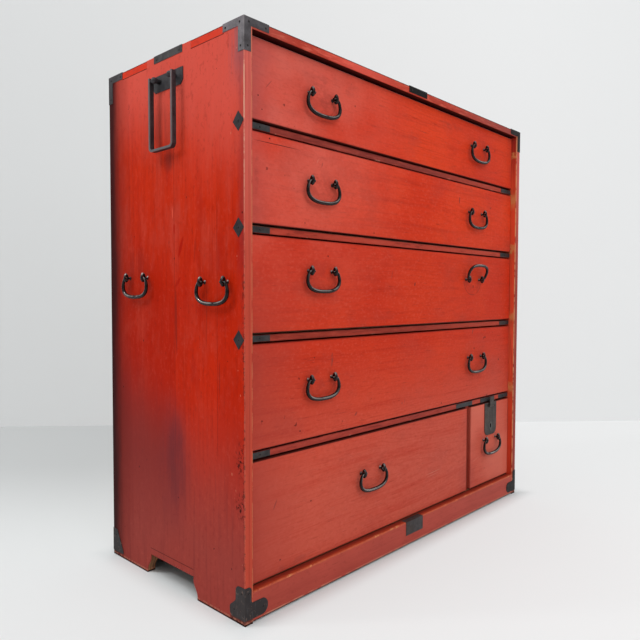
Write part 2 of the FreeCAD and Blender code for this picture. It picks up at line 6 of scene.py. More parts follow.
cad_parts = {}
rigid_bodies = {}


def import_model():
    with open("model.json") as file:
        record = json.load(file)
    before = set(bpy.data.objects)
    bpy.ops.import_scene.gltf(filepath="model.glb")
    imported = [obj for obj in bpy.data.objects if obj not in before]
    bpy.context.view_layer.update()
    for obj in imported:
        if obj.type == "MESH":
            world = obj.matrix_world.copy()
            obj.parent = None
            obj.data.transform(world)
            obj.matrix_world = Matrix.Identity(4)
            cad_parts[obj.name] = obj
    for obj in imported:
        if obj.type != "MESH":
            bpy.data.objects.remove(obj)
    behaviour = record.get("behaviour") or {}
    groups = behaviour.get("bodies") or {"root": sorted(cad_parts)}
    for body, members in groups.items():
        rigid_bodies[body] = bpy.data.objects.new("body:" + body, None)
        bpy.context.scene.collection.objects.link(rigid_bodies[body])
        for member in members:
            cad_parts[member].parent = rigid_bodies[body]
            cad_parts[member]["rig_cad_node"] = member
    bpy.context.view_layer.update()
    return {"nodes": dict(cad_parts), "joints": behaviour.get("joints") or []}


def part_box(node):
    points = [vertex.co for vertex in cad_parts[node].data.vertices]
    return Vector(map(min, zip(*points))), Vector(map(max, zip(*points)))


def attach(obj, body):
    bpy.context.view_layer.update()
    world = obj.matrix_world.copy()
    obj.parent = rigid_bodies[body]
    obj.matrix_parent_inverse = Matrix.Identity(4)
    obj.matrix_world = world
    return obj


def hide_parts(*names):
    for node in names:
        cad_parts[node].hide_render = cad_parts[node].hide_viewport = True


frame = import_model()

scene = bpy.context.scene
scene.view_settings.view_transform = "Standard"

MM = 0.001
CASE_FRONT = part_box("left_side_panel")[0].y
CASE_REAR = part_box("left_side_panel")[1].y
CASE_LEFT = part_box("left_side_panel")[0].x
CASE_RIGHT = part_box("right_side_panel")[1].x
CASE_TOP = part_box("top_panel")[1].z
LEFT_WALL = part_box("left_side_panel")[1].x
RIGHT_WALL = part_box("right_side_panel")[0].x
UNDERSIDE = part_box("floor_board")[0].z
FULL_DRAWERS = ("top_drawer", "second_drawer", "third_drawer", "fourth_drawer")
LOW_DRAWERS = ("wide_drawer", "small_drawer")
RAISED_BAIL = "third_drawer_bail_right"
KEYHOLE = (0.342, 0, 0.1905)
POST_SPREAD = 29.5 * MM
BAIL_STANDOFF = 9 * MM
IRON_THICKNESS = 0.8 * MM
SHARP_EDGE = 38
ROUND_STEPS = 28
RING_POINTS = 14
SEED_STEPS = (3.71, 1.93, 5.17)


# Ways of working

def leave_all():
    """Back to object mode with nothing selected."""
    if bpy.context.object and bpy.context.object.mode != "OBJECT":
        bpy.ops.object.mode_set(mode="OBJECT")
    bpy.ops.object.select_all(action="DESELECT")


def take(piece):
    leave_all()
    piece.select_set(True)
    bpy.context.view_layer.objects.active = piece


def work_mesh(*steps):
    """Runs mesh tools, each with its settings, over the whole of the piece in hand."""
    bpy.ops.object.mode_set(mode="EDIT")
    for tool, settings in steps:
        bpy.ops.mesh.select_all(action="SELECT")
        getattr(bpy.ops.mesh, tool)(**settings)
    bpy.ops.object.mode_set(mode="OBJECT")


def welded(distance):
    return "remove_doubles", {"threshold": distance}


FACING_OUT = ("normals_make_consistent", {"inside": False})


def smooth(piece, degrees=SHARP_EDGE):
    take(piece)
    bpy.ops.object.shade_smooth_by_angle(angle=math.radians(degrees))


def finished(piece, finish, body, node):
    """Gives a piece its finish or pair of finishes, and its place on a body of the chest instead of a CAD node."""
    for material in finish if isinstance(finish, tuple) else (finish,):
        piece.data.materials.append(material)
    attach(piece, body)
    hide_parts(node)
    return piece


def joined(name, pieces):
    """Several shapes made one piece, placed at the origin."""
    leave_all()
    for piece in pieces:
        piece.select_set(True)
    bpy.context.view_layer.objects.active = pieces[0]
    bpy.ops.object.join()
    bpy.ops.object.transform_apply(location=True, rotation=True, scale=True)
    whole = bpy.context.object
    whole.name = name
    whole.data.name = name
    return whole


def copy_at(piece, matrix):
    """A copy with its own mesh, moved by a matrix that goes into the mesh."""
    take(piece)
    bpy.ops.object.duplicate(linked=False)
    copy = bpy.context.object
    copy.matrix_world = matrix
    bpy.ops.object.transform_apply(location=True, rotation=True, scale=True)
    return copy


def dressed(node, name, round_off, finish, body, segments=2):
    """A copy of a CAD piece with its sharp edges rubbed round by so many millimetres, and with its finish.

    A pair of finishes has the second one on the rubbed edges.
    """
    take(frame["nodes"][node])
    bpy.ops.object.duplicate(linked=False)
    piece = bpy.context.object
    del piece["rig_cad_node"]
    piece.name = name
    piece.data.name = name
    piece.data.materials.clear()
    bpy.ops.mesh.customdata_custom_splitnormals_clear()
    work_mesh(welded(0.01 * MM), ("dissolve_limited", {"angle_limit": math.radians(0.5)}))
    bpy.ops.object.shade_smooth()
    take(piece)
    bevel = piece.modifiers.new("bevel", "BEVEL")
    bevel.width = round_off * MM
    bevel.segments = segments
    bevel.limit_method = "ANGLE"
    bevel.angle_limit = math.radians(SHARP_EDGE)
    bevel.material = 1 if isinstance(finish, tuple) else -1
    bevel.harden_normals = True
    bpy.ops.object.modifier_apply(modifier=bevel.name)
    return finished(piece, finish, body, node)


def spun(name, outline, centre, axis, steps):
    """A closed outline of (x, y) points in millimetres, spun round an axis through a point of the Y axis."""
    leave_all()
    bpy.ops.mesh.primitive_circle_add(vertices=len(outline), radius=MM)
    piece = bpy.context.object
    piece.name = name
    for vertex, (x, y) in zip(piece.data.vertices, outline):
        vertex.co = (x * MM, y * MM, 0)
    full_turn = {"steps": steps, "angle": 2 * math.pi, "center": (0, centre * MM, 0), "axis": axis}
    work_mesh(("spin", full_turn), welded(0.001 * MM), ("delete_loose", {}), FACING_OUT)
    return piece


def turned(name, profile, steps=ROUND_STEPS):
    """A piece turned about the Y axis: profile is (radius, y) pairs from one end of the axis to the other."""
    piece = spun(name, profile, 0, (0, 1, 0), steps)
    smooth(piece)
    return piece


def ringed(name, inner, outer, half_length, centre, rise, sink):
    """An eye: a ring round the X axis at a point on the Y axis, its rim drawn out up and down by so many times."""
    middle = centre + (inner + outer) / 2
    thick = (outer - inner) / 2
    turns = [2 * math.pi * number / RING_POINTS for number in range(RING_POINTS)]
    outline = [(half_length * math.cos(turn), middle + thick * math.sin(turn)) for turn in turns]
    piece = spun(name, outline, centre, (1, 0, 0), ROUND_STEPS)
    for vertex in piece.data.vertices:
        reach = (math.hypot(vertex.co.y / MM - centre, vertex.co.z / MM) - inner) / (outer - inner)
        vertex.co.z *= 1 + ((rise if vertex.co.z > 0 else sink) - 1) * max(0, reach)
    smooth(piece)
    return piece


def forged_bar(name, path, radii):
    """A round bar drawn along a path of points, with its radius in millimetres at each point."""
    leave_all()
    bpy.ops.curve.primitive_nurbs_path_add(location=(0, 0, 0))
    bar = bpy.context.object
    bar.name = name
    curve = bar.data
    curve.dimensions = "3D"
    spline = curve.splines[0]
    spline.points.add(len(path) - len(spline.points))
    for point, place, radius in zip(spline.points, path, radii):
        point.co = (*place, 1)
        point.radius = radius
    spline.order_u = 4
    spline.use_endpoint_u = True
    spline.resolution_u = 5
    curve.bevel_depth = MM
    curve.bevel_resolution = 3
    curve.use_fill_caps = True
    bpy.ops.object.convert(target="MESH")
    bar = bpy.context.object
    work_mesh(welded(0.01 * MM), FACING_OUT)
    smooth(bar, 50)
    return bar


# Finishes

class Value:
    """A number that a surface works out at each of its points; it adds, subtracts and multiplies as numbers do."""

    def __init__(self, finish, socket):
        self.finish = finish
        self.socket = socket

    def __add__(self, other):
        return self.finish.sums("ADD", self, other)

    def __radd__(self, other):
        return self.finish.sums("ADD", other, self)

    def __sub__(self, other):
        return self.finish.sums("SUBTRACT", self, other)

    def __rsub__(self, other):
        return self.finish.sums("SUBTRACT", other, self)

    def __mul__(self, other):
        return self.finish.sums("MULTIPLY", self, other)

    def __abs__(self):
        return self.finish.sums("ABSOLUTE", self)


class Finish:
    """A surface built from nodes that read the place of a point on the chest, in metres, and its coats of colour."""

    def __init__(self, name, gloss):
        self.material = bpy.data.materials.new(name)
        self.material.use_nodes = True
        self.tree = self.material.node_tree
        self.shader = self.tree.nodes["Principled BSDF"]
        self.shader.inputs["Specular IOR Level"].default_value = gloss
        self.colour = None
        coordinates = self.add("ShaderNodeTexCoord")
        self.place = coordinates.outputs["Object"]
        self.facing = coordinates.outputs["Normal"]
        parts = self.add("ShaderNodeSeparateXYZ")
        self.feed(parts.inputs[0], self.place)
        self.x, self.y, self.z = (Value(self, part) for part in parts.outputs)

    def add(self, kind, **settings):
        node = self.tree.nodes.new(kind)
        for name, value in settings.items():
            setattr(node, name, value)
        return node

    def feed(self, socket, value):
        if isinstance(value, Value):
            value = value.socket
        if isinstance(value, bpy.types.NodeSocket):
            self.tree.links.new(value, socket)
        elif isinstance(value, tuple) and len(value) == 3 and socket.type == "RGBA":
            socket.default_value = (*value, 1)
        else:
            socket.default_value = value

    def fed(self, node, output, **inputs):
        """A node's output, once its inputs, named with _ for a space, are fed."""
        for name, value in inputs.items():
            self.feed(node.inputs[name.replace("_", " ")], value)
        return Value(self, node.outputs[output])

    def sums(self, operation, first, second=0.0):
        node = self.add("ShaderNodeMath", operation=operation)
        self.feed(node.inputs[0], first)
        self.feed(node.inputs[1], second)
        return Value(self, node.outputs[0])

    def least(self, first, second):
        return self.sums("MINIMUM", first, second)

    def most(self, first, second):
        return self.sums("MAXIMUM", first, second)

    def rise(self, value, low, high):
        """Goes smoothly from 0 to 1 as the value goes from low to high, or down where high is the smaller."""
        first, last = (1.0, 0.0) if low > high else (0.0, 1.0)
        return self.fed(self.add("ShaderNodeMapRange", interpolation_type="SMOOTHSTEP"), "Result", Value=value,
                        From_Min=min(low, high), From_Max=max(low, high), To_Min=first, To_Max=last)

    def edge(self, distance, begin, full):
        """Rises over a distance that is given in millimetres, such as one from an edge."""
        return self.rise(distance, begin * MM, full * MM)

    def between(self, value, low, high, soft):
        """1 from low to high, with soft ends outside of them."""
        return self.rise(value, low - soft, low) * self.rise(value, high + soft, high)

    def near(self, value, centre, width):
        """1 at the centre of a band, 0 beyond its half width."""
        return self.rise(abs(value - centre), width, 0.0)

    def noise(self, stretch, seed, detail=3.0, rough=0.55):
        """Cloudy pattern with so many features to the metre along each axis, or along all three."""
        if not isinstance(stretch, tuple):
            stretch = (stretch, stretch, stretch)
        shift = tuple(seed * step for step in SEED_STEPS)
        place = self.fed(self.add("ShaderNodeMapping"), "Vector", Vector=self.place, Location=shift, Scale=stretch)
        return self.fed(self.add("ShaderNodeTexNoise"), "Fac", Vector=place, Scale=1.0, Detail=detail,
                        Roughness=rough, Distortion=0.0)

    def turned_to(self, way, low, high):
        """1 where the surface faces one way, by the cosines at which that begins and is full."""
        node = self.add("ShaderNodeVectorMath", operation="DOT_PRODUCT")
        self.feed(node.inputs[0], self.facing)
        self.feed(node.inputs[1], Vector(way).normalized())
        return self.rise(Value(self, node.outputs["Value"]), low, high)

    def slant(self, first, second, centre, half_long, half_wide, degrees):
        """1 inside a slanting oval on the plane of two coordinates, with its half axes in millimetres."""
        turn = math.radians(degrees)
        over = first - centre[0]
        up = second - centre[1]
        long, wide = half_long * MM, half_wide * MM
        along = over * (math.cos(turn) / long) + up * (math.sin(turn) / long)
        across = over * (-math.sin(turn) / wide) + up * (math.cos(turn) / wide)
        return self.rise(along * along + across * across, 1.0, 0.25)

    def spot(self, centre, size):
        """1 at a point, falling to 0 at an oval whose half axes are given."""
        total = None
        for value, middle, half in zip((self.x, self.y, self.z), centre, size):
            if half is not None:
                part = (value - middle) * (1 / half)
                total = part * part if total is None else total + part * part
        return self.rise(total, 1.0, 0.0)

    def rings(self, run, heart, depth, tilt, spacing, seed):
        """Growth lines of a plain-sawn board: arches along its heart line, straight lines away from it."""
        along = getattr(self, run)
        across = getattr(self, {"x": "z", "y": "x", "z": "y"}[run])
        sway = self.noise(with_grain(run, 2.2, 9), seed + 23, detail=3)
        drift = self.noise(with_grain(run, 4, 55), seed + 27, detail=3)
        off = across - heart + (sway - 0.5) * 0.07
        deep = depth + along * tilt
        reach = self.sums("SQRT", off * off + deep * deep) + (drift - 0.5) * (2.2 * spacing)
        wave = self.sums("SINE", reach * (2 * math.pi / spacing))
        return self.rise(wave, 0.05, 1.0) * self.rise(drift, 0.35, 0.65)

    def rubbed_arc(self, centre, half_wide, drop, thick):
        """The line that a hanging bail wears into the front round its lower end."""
        over = (self.x - centre[0]) * (1 / half_wide)
        down = (centre[1] - self.z) * (1 / drop)
        reach = self.sums("SQRT", over * over + down * down)
        return self.near(reach, 1.0, thick) * self.rise(down, 0.05, 0.30)

    def edge_distance(self, box, axes):
        """Distance from the nearest rim of a board's face, over the axes that the face spans."""
        nearest = None
        for axis in axes:
            value = getattr(self, axis)
            for part in (value - getattr(box[0], axis), getattr(box[1], axis) - value):
                nearest = part if nearest is None else self.least(nearest, part)
        return nearest

    def blend(self, factor, first, second):
        node = self.add("ShaderNodeMix", data_type="RGBA", clamp_factor=True)
        for number, value in ((0, factor), (6, first), (7, second)):
            self.feed(node.inputs[number], value)
        return Value(self, node.outputs[2])

    def paint(self, colour, mask, strength, tone):
        return self.blend(mask * strength, colour, tone)

    def coat(self, mask, strength, tone):
        """One more coat on the surface's colour, where the mask lets it through."""
        self.colour = self.paint(self.colour, mask, strength, tone)

    def bumped(self, height, strength, depth):
        bump = self.fed(self.add("ShaderNodeBump"), "Normal", Height=height, Strength=strength, Distance=depth)
        self.feed(self.shader.inputs["Normal"], bump)

    def done(self, rough):
        self.feed(self.shader.inputs["Base Color"], self.colour)
        self.feed(self.shader.inputs["Roughness"], rough)
        return self.material


VERMILION = (0.66, 0.036, 0.008)
ORANGE = (0.74, 0.052, 0.012)
CRIMSON = (0.46, 0.020, 0.006)
ROSE = (0.64, 0.118, 0.088)
DUSTY = (0.37, 0.052, 0.038)
DEEP_RED = (0.20, 0.012, 0.007)
NEARLY_BLACK = (0.018, 0.006, 0.005)
PAINTED_SHADE_BLACK = (0.020, 0.011, 0.008)
GRIME = (0.060, 0.012, 0.010)
CREAM = (0.74, 0.40, 0.28)
TAN_WOOD = (0.70, 0.30, 0.10)


def shade(tone, share):
    return tuple(share * part for part in tone)


def with_grain(run, few, many):
    """Features to the metre along each axis: few along the grain, many across it."""
    return tuple(few if axis == run else many for axis in "xyz")


def grain(finish, run, seed):
    """Streaks, pores and clouds of wood under lacquer; run is the axis that the grain follows."""
    streaks = finish.noise(with_grain(run, 3.2, 75), seed, detail=5, rough=0.66)
    fine = finish.noise(with_grain(run, 9, 340), seed + 3, detail=3, rough=0.6)
    pores = finish.noise(with_grain(run, 26, 620), seed + 5, detail=1, rough=0.5)
    clouds = finish.noise(4.5, seed + 7)
    return streaks, fine, pores, clouds


def lacquered_front(name, seed, heart, marks):
    """Translucent vermilion on a drawer front: rosy at the upper left, faded there and with a painted sheen, muted
    near the ground, with old marks and with painted shade and highlight along its edges.
    """
    low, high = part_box(name + "_front")
    f = Finish(name + "_lacquer", 0.07)
    streaks, fine, pores, clouds = grain(f, "x", seed)
    patches = f.noise((9, 9, 14), seed + 19, detail=4, rough=0.6)
    specks = f.noise((55, 170, 240), seed + 31, detail=3, rough=0.6)
    lines = f.rings("x", heart, 0.034, 0.075, 6.5 * MM, seed)
    f.colour = f.blend(f.rise(clouds, 0.36, 0.64), VERMILION, ORANGE)
    f.coat(f.between(f.z, 0.3, 0.58, 0.1), 0.32, CRIMSON)
    dull = f.rise(f.z + (clouds - 0.5) * 0.14, 0.46, 0.14)
    f.coat(dull, 0.9, (0.58, 0.102, 0.064))
    f.coat(lines, 0.2, CRIMSON)
    f.coat(f.rise(streaks, 0.48, 0.72), 0.46, CRIMSON)
    f.coat(f.rise(fine, 0.54, 0.76), 0.32, CRIMSON)
    f.coat(f.rise(pores, 0.66, 0.78), 0.4, DEEP_RED)
    # Rosy haze at the upper left: faded lacquer with a painted sheen
    haze_and_sheen = f.rise(f.x, 0.06, -0.4) * f.rise(f.z, 0.36, 0.88) * f.rise(clouds, 0.2, 0.6)
    f.coat(haze_and_sheen, 0.95, (0.66, 0.138, 0.106))
    f.coat(f.rise(specks, 0.53, 0.7), 0.12, DEEP_RED)
    f.coat(f.rise(specks, 0.44, 0.28), 0.1, ROSE)
    f.coat(f.rise(patches, 0.5, 0.72), 0.26, DUSTY)
    ends = f.least(f.x - low.x, high.x - f.x)
    f.coat(f.edge(ends, 42, 0) * f.rise(patches, 0.35, 0.6), 0.42, DUSTY)
    dust = f.noise((150, 150, 210), seed + 37, detail=3, rough=0.65)
    f.coat(f.rise(dust, 0.51, 0.7), 0.2, (0.68, 0.145, 0.108))
    f.coat(f.rise(dust, 0.47, 0.32), 0.15, (0.36, 0.02, 0.01))
    if name != "small_drawer":
        left_end = f.rise(f.x - low.x, 0.16, 0.0) * f.rise(f.z, 0.62, 0.4)
        f.coat(left_end, 0.58, DUSTY)
    else:
        f.coat(f.rise(clouds, 0.2, 0.6), 0.9, (0.7, 0.156, 0.105))
    if name in ("top_drawer", "second_drawer"):
        darker_left_end = f.rise(f.x - low.x + (patches - 0.5) * 0.06, 0.075, 0.0)
        f.coat(darker_left_end, 0.5 if name == "top_drawer" else 0.25, (0.38, 0.09, 0.088))
    smudge = f.noise((36, 36, 60), seed + 35, detail=4, rough=0.65)
    for joint in frame["joints"]:
        if joint["parent"] == name and "_bail_" in joint["child"]:
            across, height = joint["pos_m"][0], joint["pos_m"][2]
            rubbed = f.spot((across, 0, height - 6 * MM), (46 * MM, None, 38 * MM)) * f.rise(smudge, 0.4, 0.62)
            f.coat(rubbed, 0.12 if name == "small_drawer" else 0.34, (0.33, 0.034, 0.024))
            arc = f.rubbed_arc((across, height), 39 * MM, 35 * MM, 0.035)
            strength = 0.75 if joint["child"] == RAISED_BAIL else 0.28
            f.coat(arc * f.rise(smudge, 0.3, 0.55), strength, (0.16, 0.02, 0.016))
    rim = f.edge_distance((low, high), "xz") + (clouds - 0.5) * (3 * MM)
    f.coat(f.edge(rim, 3.4, 0.3), 0.42, DEEP_RED)
    # Along the top edge: a broken pale line of wear and painted highlight on the top drawer, a painted shadow under
    # the divider on the low drawers, painted shade in the gap on the others
    top_line = f.edge(high.z - f.z, 1.7, 0.6)
    if name == "top_drawer":
        broken = f.rise(f.noise(16, seed + 11, detail=4), 0.3, 0.56)
        f.coat(top_line * broken, 0.75, (0.56, 0.3, 0.27))
    elif name in LOW_DRAWERS:
        f.coat(top_line, 0.85, NEARLY_BLACK)
    else:
        f.coat(top_line, 0.35, (0.1, 0.01, 0.007))
    # Painted shade in the gap along the bottom edge
    f.coat(f.edge(f.z - low.z, 1.6, 0.8), 0.85, NEARLY_BLACK)
    dents = f.rise(f.noise(70, seed + 13, detail=2, rough=0.4), 0.755, 0.79)
    scars = dents
    f.coat(dents, 0.6, NEARLY_BLACK)
    for across, height, half_long, half_wide, degrees, strength, tone in marks:
        centre = CASE_LEFT + across * MM, height * MM
        mark = f.slant(f.x, f.z, centre, half_long, half_wide, degrees)
        if half_wide > 3:
            mark = mark * f.rise(smudge, 0.36, 0.62)
        else:
            scars = f.most(scars, mark * strength)
        f.coat(mark, strength, tone)
    # Painted shade inside the keyhole
    if name == "small_drawer":
        f.coat(f.spot(KEYHOLE, (10 * MM, None, 14 * MM)), 1.0, (0.004, 0.003, 0.003))
    rough = 0.32 + f.noise((14, 14, 40), seed + 17, detail=4) * 0.24
    height = fine * 0.5 + (streaks * 0.8 + scars * -1.3)
    f.bumped(height, 0.18, 0.7 * MM)
    return f.done(rough)


def lacquered_board(name, run, seed, tone, deep, gloss=0.18):
    """Lacquer on a narrow board of the case, cloudy and darker in its grain."""
    f = Finish(name, gloss)
    streaks, fine, pores, clouds = grain(f, run, seed)
    f.colour = f.blend(f.rise(clouds, 0.35, 0.66), tone, shade(tone, 0.82))
    f.coat(f.rise(streaks, 0.46, 0.72), 0.5, deep)
    f.coat(f.rise(fine, 0.52, 0.75), 0.35, deep)
    f.coat(f.rise(pores, 0.66, 0.79), 0.35, DEEP_RED)
    f.bumped(fine * 0.5 + streaks * 0.8, 0.18, 0.7 * MM)
    return f, clouds, 0.34 + f.noise(14, seed + 17, detail=4) * 0.22


def lacquered_divider(node, seed, tone):
    """A divider's edge, brown red, darker along both rims and behind its face with painted shade, and brighter
    towards its right end.
    """
    low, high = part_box(node)
    f, clouds, rough = lacquered_board(node + "_lacquer", "x", seed, tone, shade(tone, 0.55), 0.1)
    f.coat(f.rise(f.x + (clouds - 0.5) * 0.4, 0.02, 0.34), 0.65, (0.5, 0.056, 0.028))
    # Painted shade along both rims, strongest at the upper one under the drawer
    rim = f.edge_distance((low, high), "z") + (clouds - 0.5) * (1.6 * MM)
    rim_strength = 0.22 + f.rise(f.z, low.z + 3 * MM, low.z + 7 * MM) * 0.43
    f.coat(f.edge(rim, 2.2, 0.2) * rim_strength, 1.0, (0.1, 0.008, 0.006))
    mottle = f.noise((22, 22, 160), seed + 21, detail=4, rough=0.65)
    f.coat(f.rise(mottle, 0.5, 0.64), 0.4, (0.5, 0.07, 0.045))
    f.coat(f.rise(mottle, 0.45, 0.34), 0.45, (0.14, 0.01, 0.007))
    chips = f.rise(f.noise(46, seed + 11, detail=3), 0.66, 0.7)
    lower = f.edge(f.z - low.z, 2.0, 0.6)
    f.coat(chips * lower, 0.45, CREAM)
    # Painted shade behind the front face
    f.coat(f.edge(f.y - low.y, 1.5, 12), 0.8, (0.08, 0.01, 0.008))
    return f.done(rough)


def lacquered_top(seed):
    """The top board: mottled front edge with a painted highlight in its middle and a dark upper arris, bright end
    grain, painted shade on its underside.
    """
    low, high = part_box("top_panel")
    f, _, rough = lacquered_board("top_lacquer", "x", seed, (0.56, 0.056, 0.03), (0.34, 0.026, 0.014), 0.12)
    front = f.edge(f.y - low.y, 2.0, 1.2)
    mottle = f.noise((26, 60, 190), seed + 21, detail=5, rough=0.65)
    f.coat(front * f.rise(mottle, 0.5, 0.64), 0.7, (0.68, 0.14, 0.085))
    f.coat(front * f.rise(mottle, 0.43, 0.34), 0.65, (0.22, 0.014, 0.009))
    f.coat(front * f.rise(f.x, 0.05, 0.42), 0.7, (0.27, 0.052, 0.042))
    # Painted highlight along the middle of the front edge
    f.coat(front * f.near(f.x + (mottle - 0.5) * 0.2, -0.19, 0.15), 0.65, (0.82, 0.11, 0.075))
    f.coat(front * f.rise(f.x, -0.32, -0.42), 0.45, (0.36, 0.075, 0.06))
    ends = f.rise(abs(f.x), high.x - 2.0 * MM, high.x - 1.2 * MM)
    f.coat(ends, 0.9, (0.72, 0.03, 0.003))
    f.coat(ends * f.rise(f.noise((50, 50, 90), seed + 25, detail=4), 0.48, 0.66), 0.4, (0.4, 0.02, 0.008))
    joint_line = f.edge(f.z - low.z, 1.7, 0.6)
    f.coat(ends * joint_line, 0.85, NEARLY_BLACK)
    arris = f.edge(high.z - f.z, 2.3, 1.1)
    rims = f.most(front, ends)
    f.coat(arris * rims, 0.88, (0.04, 0.008, 0.007))
    # Painted shade on the underside behind the front arris
    under = f.rise(f.z, low.z + 0.9 * MM, low.z + 0.3 * MM) * f.edge(f.y - low.y, 1.0, 2.0)
    f.coat(under, 0.97, (0.026, 0.002, 0.002))
    return f.done(rough)


def lacquered_rail(seed):
    """The base rail: brick red; its ledge darker towards the back with painted shade, chipped along its upper arris;
    pale along its lower arris and black below that with painted shadow; its back face black with painted shade.
    """
    low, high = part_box("base_rail")
    f, clouds, rough = lacquered_board("rail_lacquer", "x", seed, (0.5, 0.076, 0.052), (0.34, 0.042, 0.03), 0.12)
    specks = f.noise((90, 90, 150), seed + 31, detail=3, rough=0.65)
    f.coat(f.rise(specks, 0.54, 0.7), 0.25, (0.24, 0.026, 0.02))
    down = high.z - f.z
    back = f.y - low.y
    # Painted shade: the ledge darkens from its front edge towards the back, under the drawers
    ledge = f.edge(down, 1.4, 0.7) * f.edge(back, 0.6, 1.4)
    f.coat(ledge, 0.9, f.blend(f.edge(back + (specks - 0.5) * (8 * MM), 4, 10), (0.4, 0.048, 0.018),
                               (0.27, 0.025, 0.013)))
    upper = f.edge(down + (back + (clouds - 0.5) * (4 * MM)), 4.5, 1.5)
    ragged = f.noise(42, seed + 11, detail=5, rough=0.7)
    f.coat(upper * f.rise(ragged, 0.44, 0.58), 0.7, (0.56, 0.11, 0.05))
    f.coat(upper * f.rise(ragged, 0.6, 0.68), 0.7, (0.66, 0.28, 0.13))
    splinters = f.noise(160, seed + 15, detail=4, rough=0.7)
    lip = f.edge(down + (back + (splinters - 0.5) * (4 * MM)), 3.6, 1.6)
    f.coat(lip * f.rise(splinters, 0.36, 0.54), 0.6, (0.62, 0.135, 0.055))
    for across, half in ((329, 9), (376, 7), (393, 9), (657, 11), (871, 8), (150, 8), (96, 8)):
        chip = f.slant(f.x, f.z, (CASE_LEFT + across * MM, high.z - 0.6 * MM), half, 2.2, 6)
        chip = chip * f.edge(back, 4.0, 2.0)
        f.coat(chip * f.rise(splinters, 0.42, 0.6), 0.75, (0.74, 0.33, 0.14))
    above = f.z - low.z
    ragged_low = f.rise(ragged, 0.36, 0.56)
    f.coat(f.between(above, 1.4 * MM, 3.0 * MM, 0.8 * MM) * ragged_low, 0.7, (0.64, 0.27, 0.18))
    # Painted shadow along the bottom edge, over the gap under the rail
    f.coat(f.edge(above, 1.7, 0.9), 0.85, NEARLY_BLACK)
    # Painted shade on the back face, under the chest
    f.coat(f.edge(high.y - f.y, 2.0, 1.0), 0.95, PAINTED_SHADE_BLACK)
    return f.done(rough)


WET_RED, WORN_PALE, SOOT = (0.42, 0.007, 0.001), (0.80, 0.130, 0.075), (0.20, 0.016, 0.010)
# Marks on a side: millimetres back from its front edge and up from the ground, half length, half width, slant in
# degrees, strength, tone
SIDE_MARKS = ((166, 592, 22, 5, 112, 0.80, WET_RED), (59, 578, 42, 9, 90, 0.22, WET_RED),
              (185, 624, 11, 3, 90, 0.8, WET_RED), (175, 533, 15, 4, 135, 0.7, WET_RED),
              (181, 470, 70, 4, 89, 0.55, SOOT), (190, 651, 11, 1.6, 90, 0.6, WORN_PALE),
              (126, 585, 26, 3, 95, 0.35, SOOT), (95, 470, 60, 3, 91, 0.30, SOOT), (62, 380, 34, 2.2, 90, 0.5, SOOT))


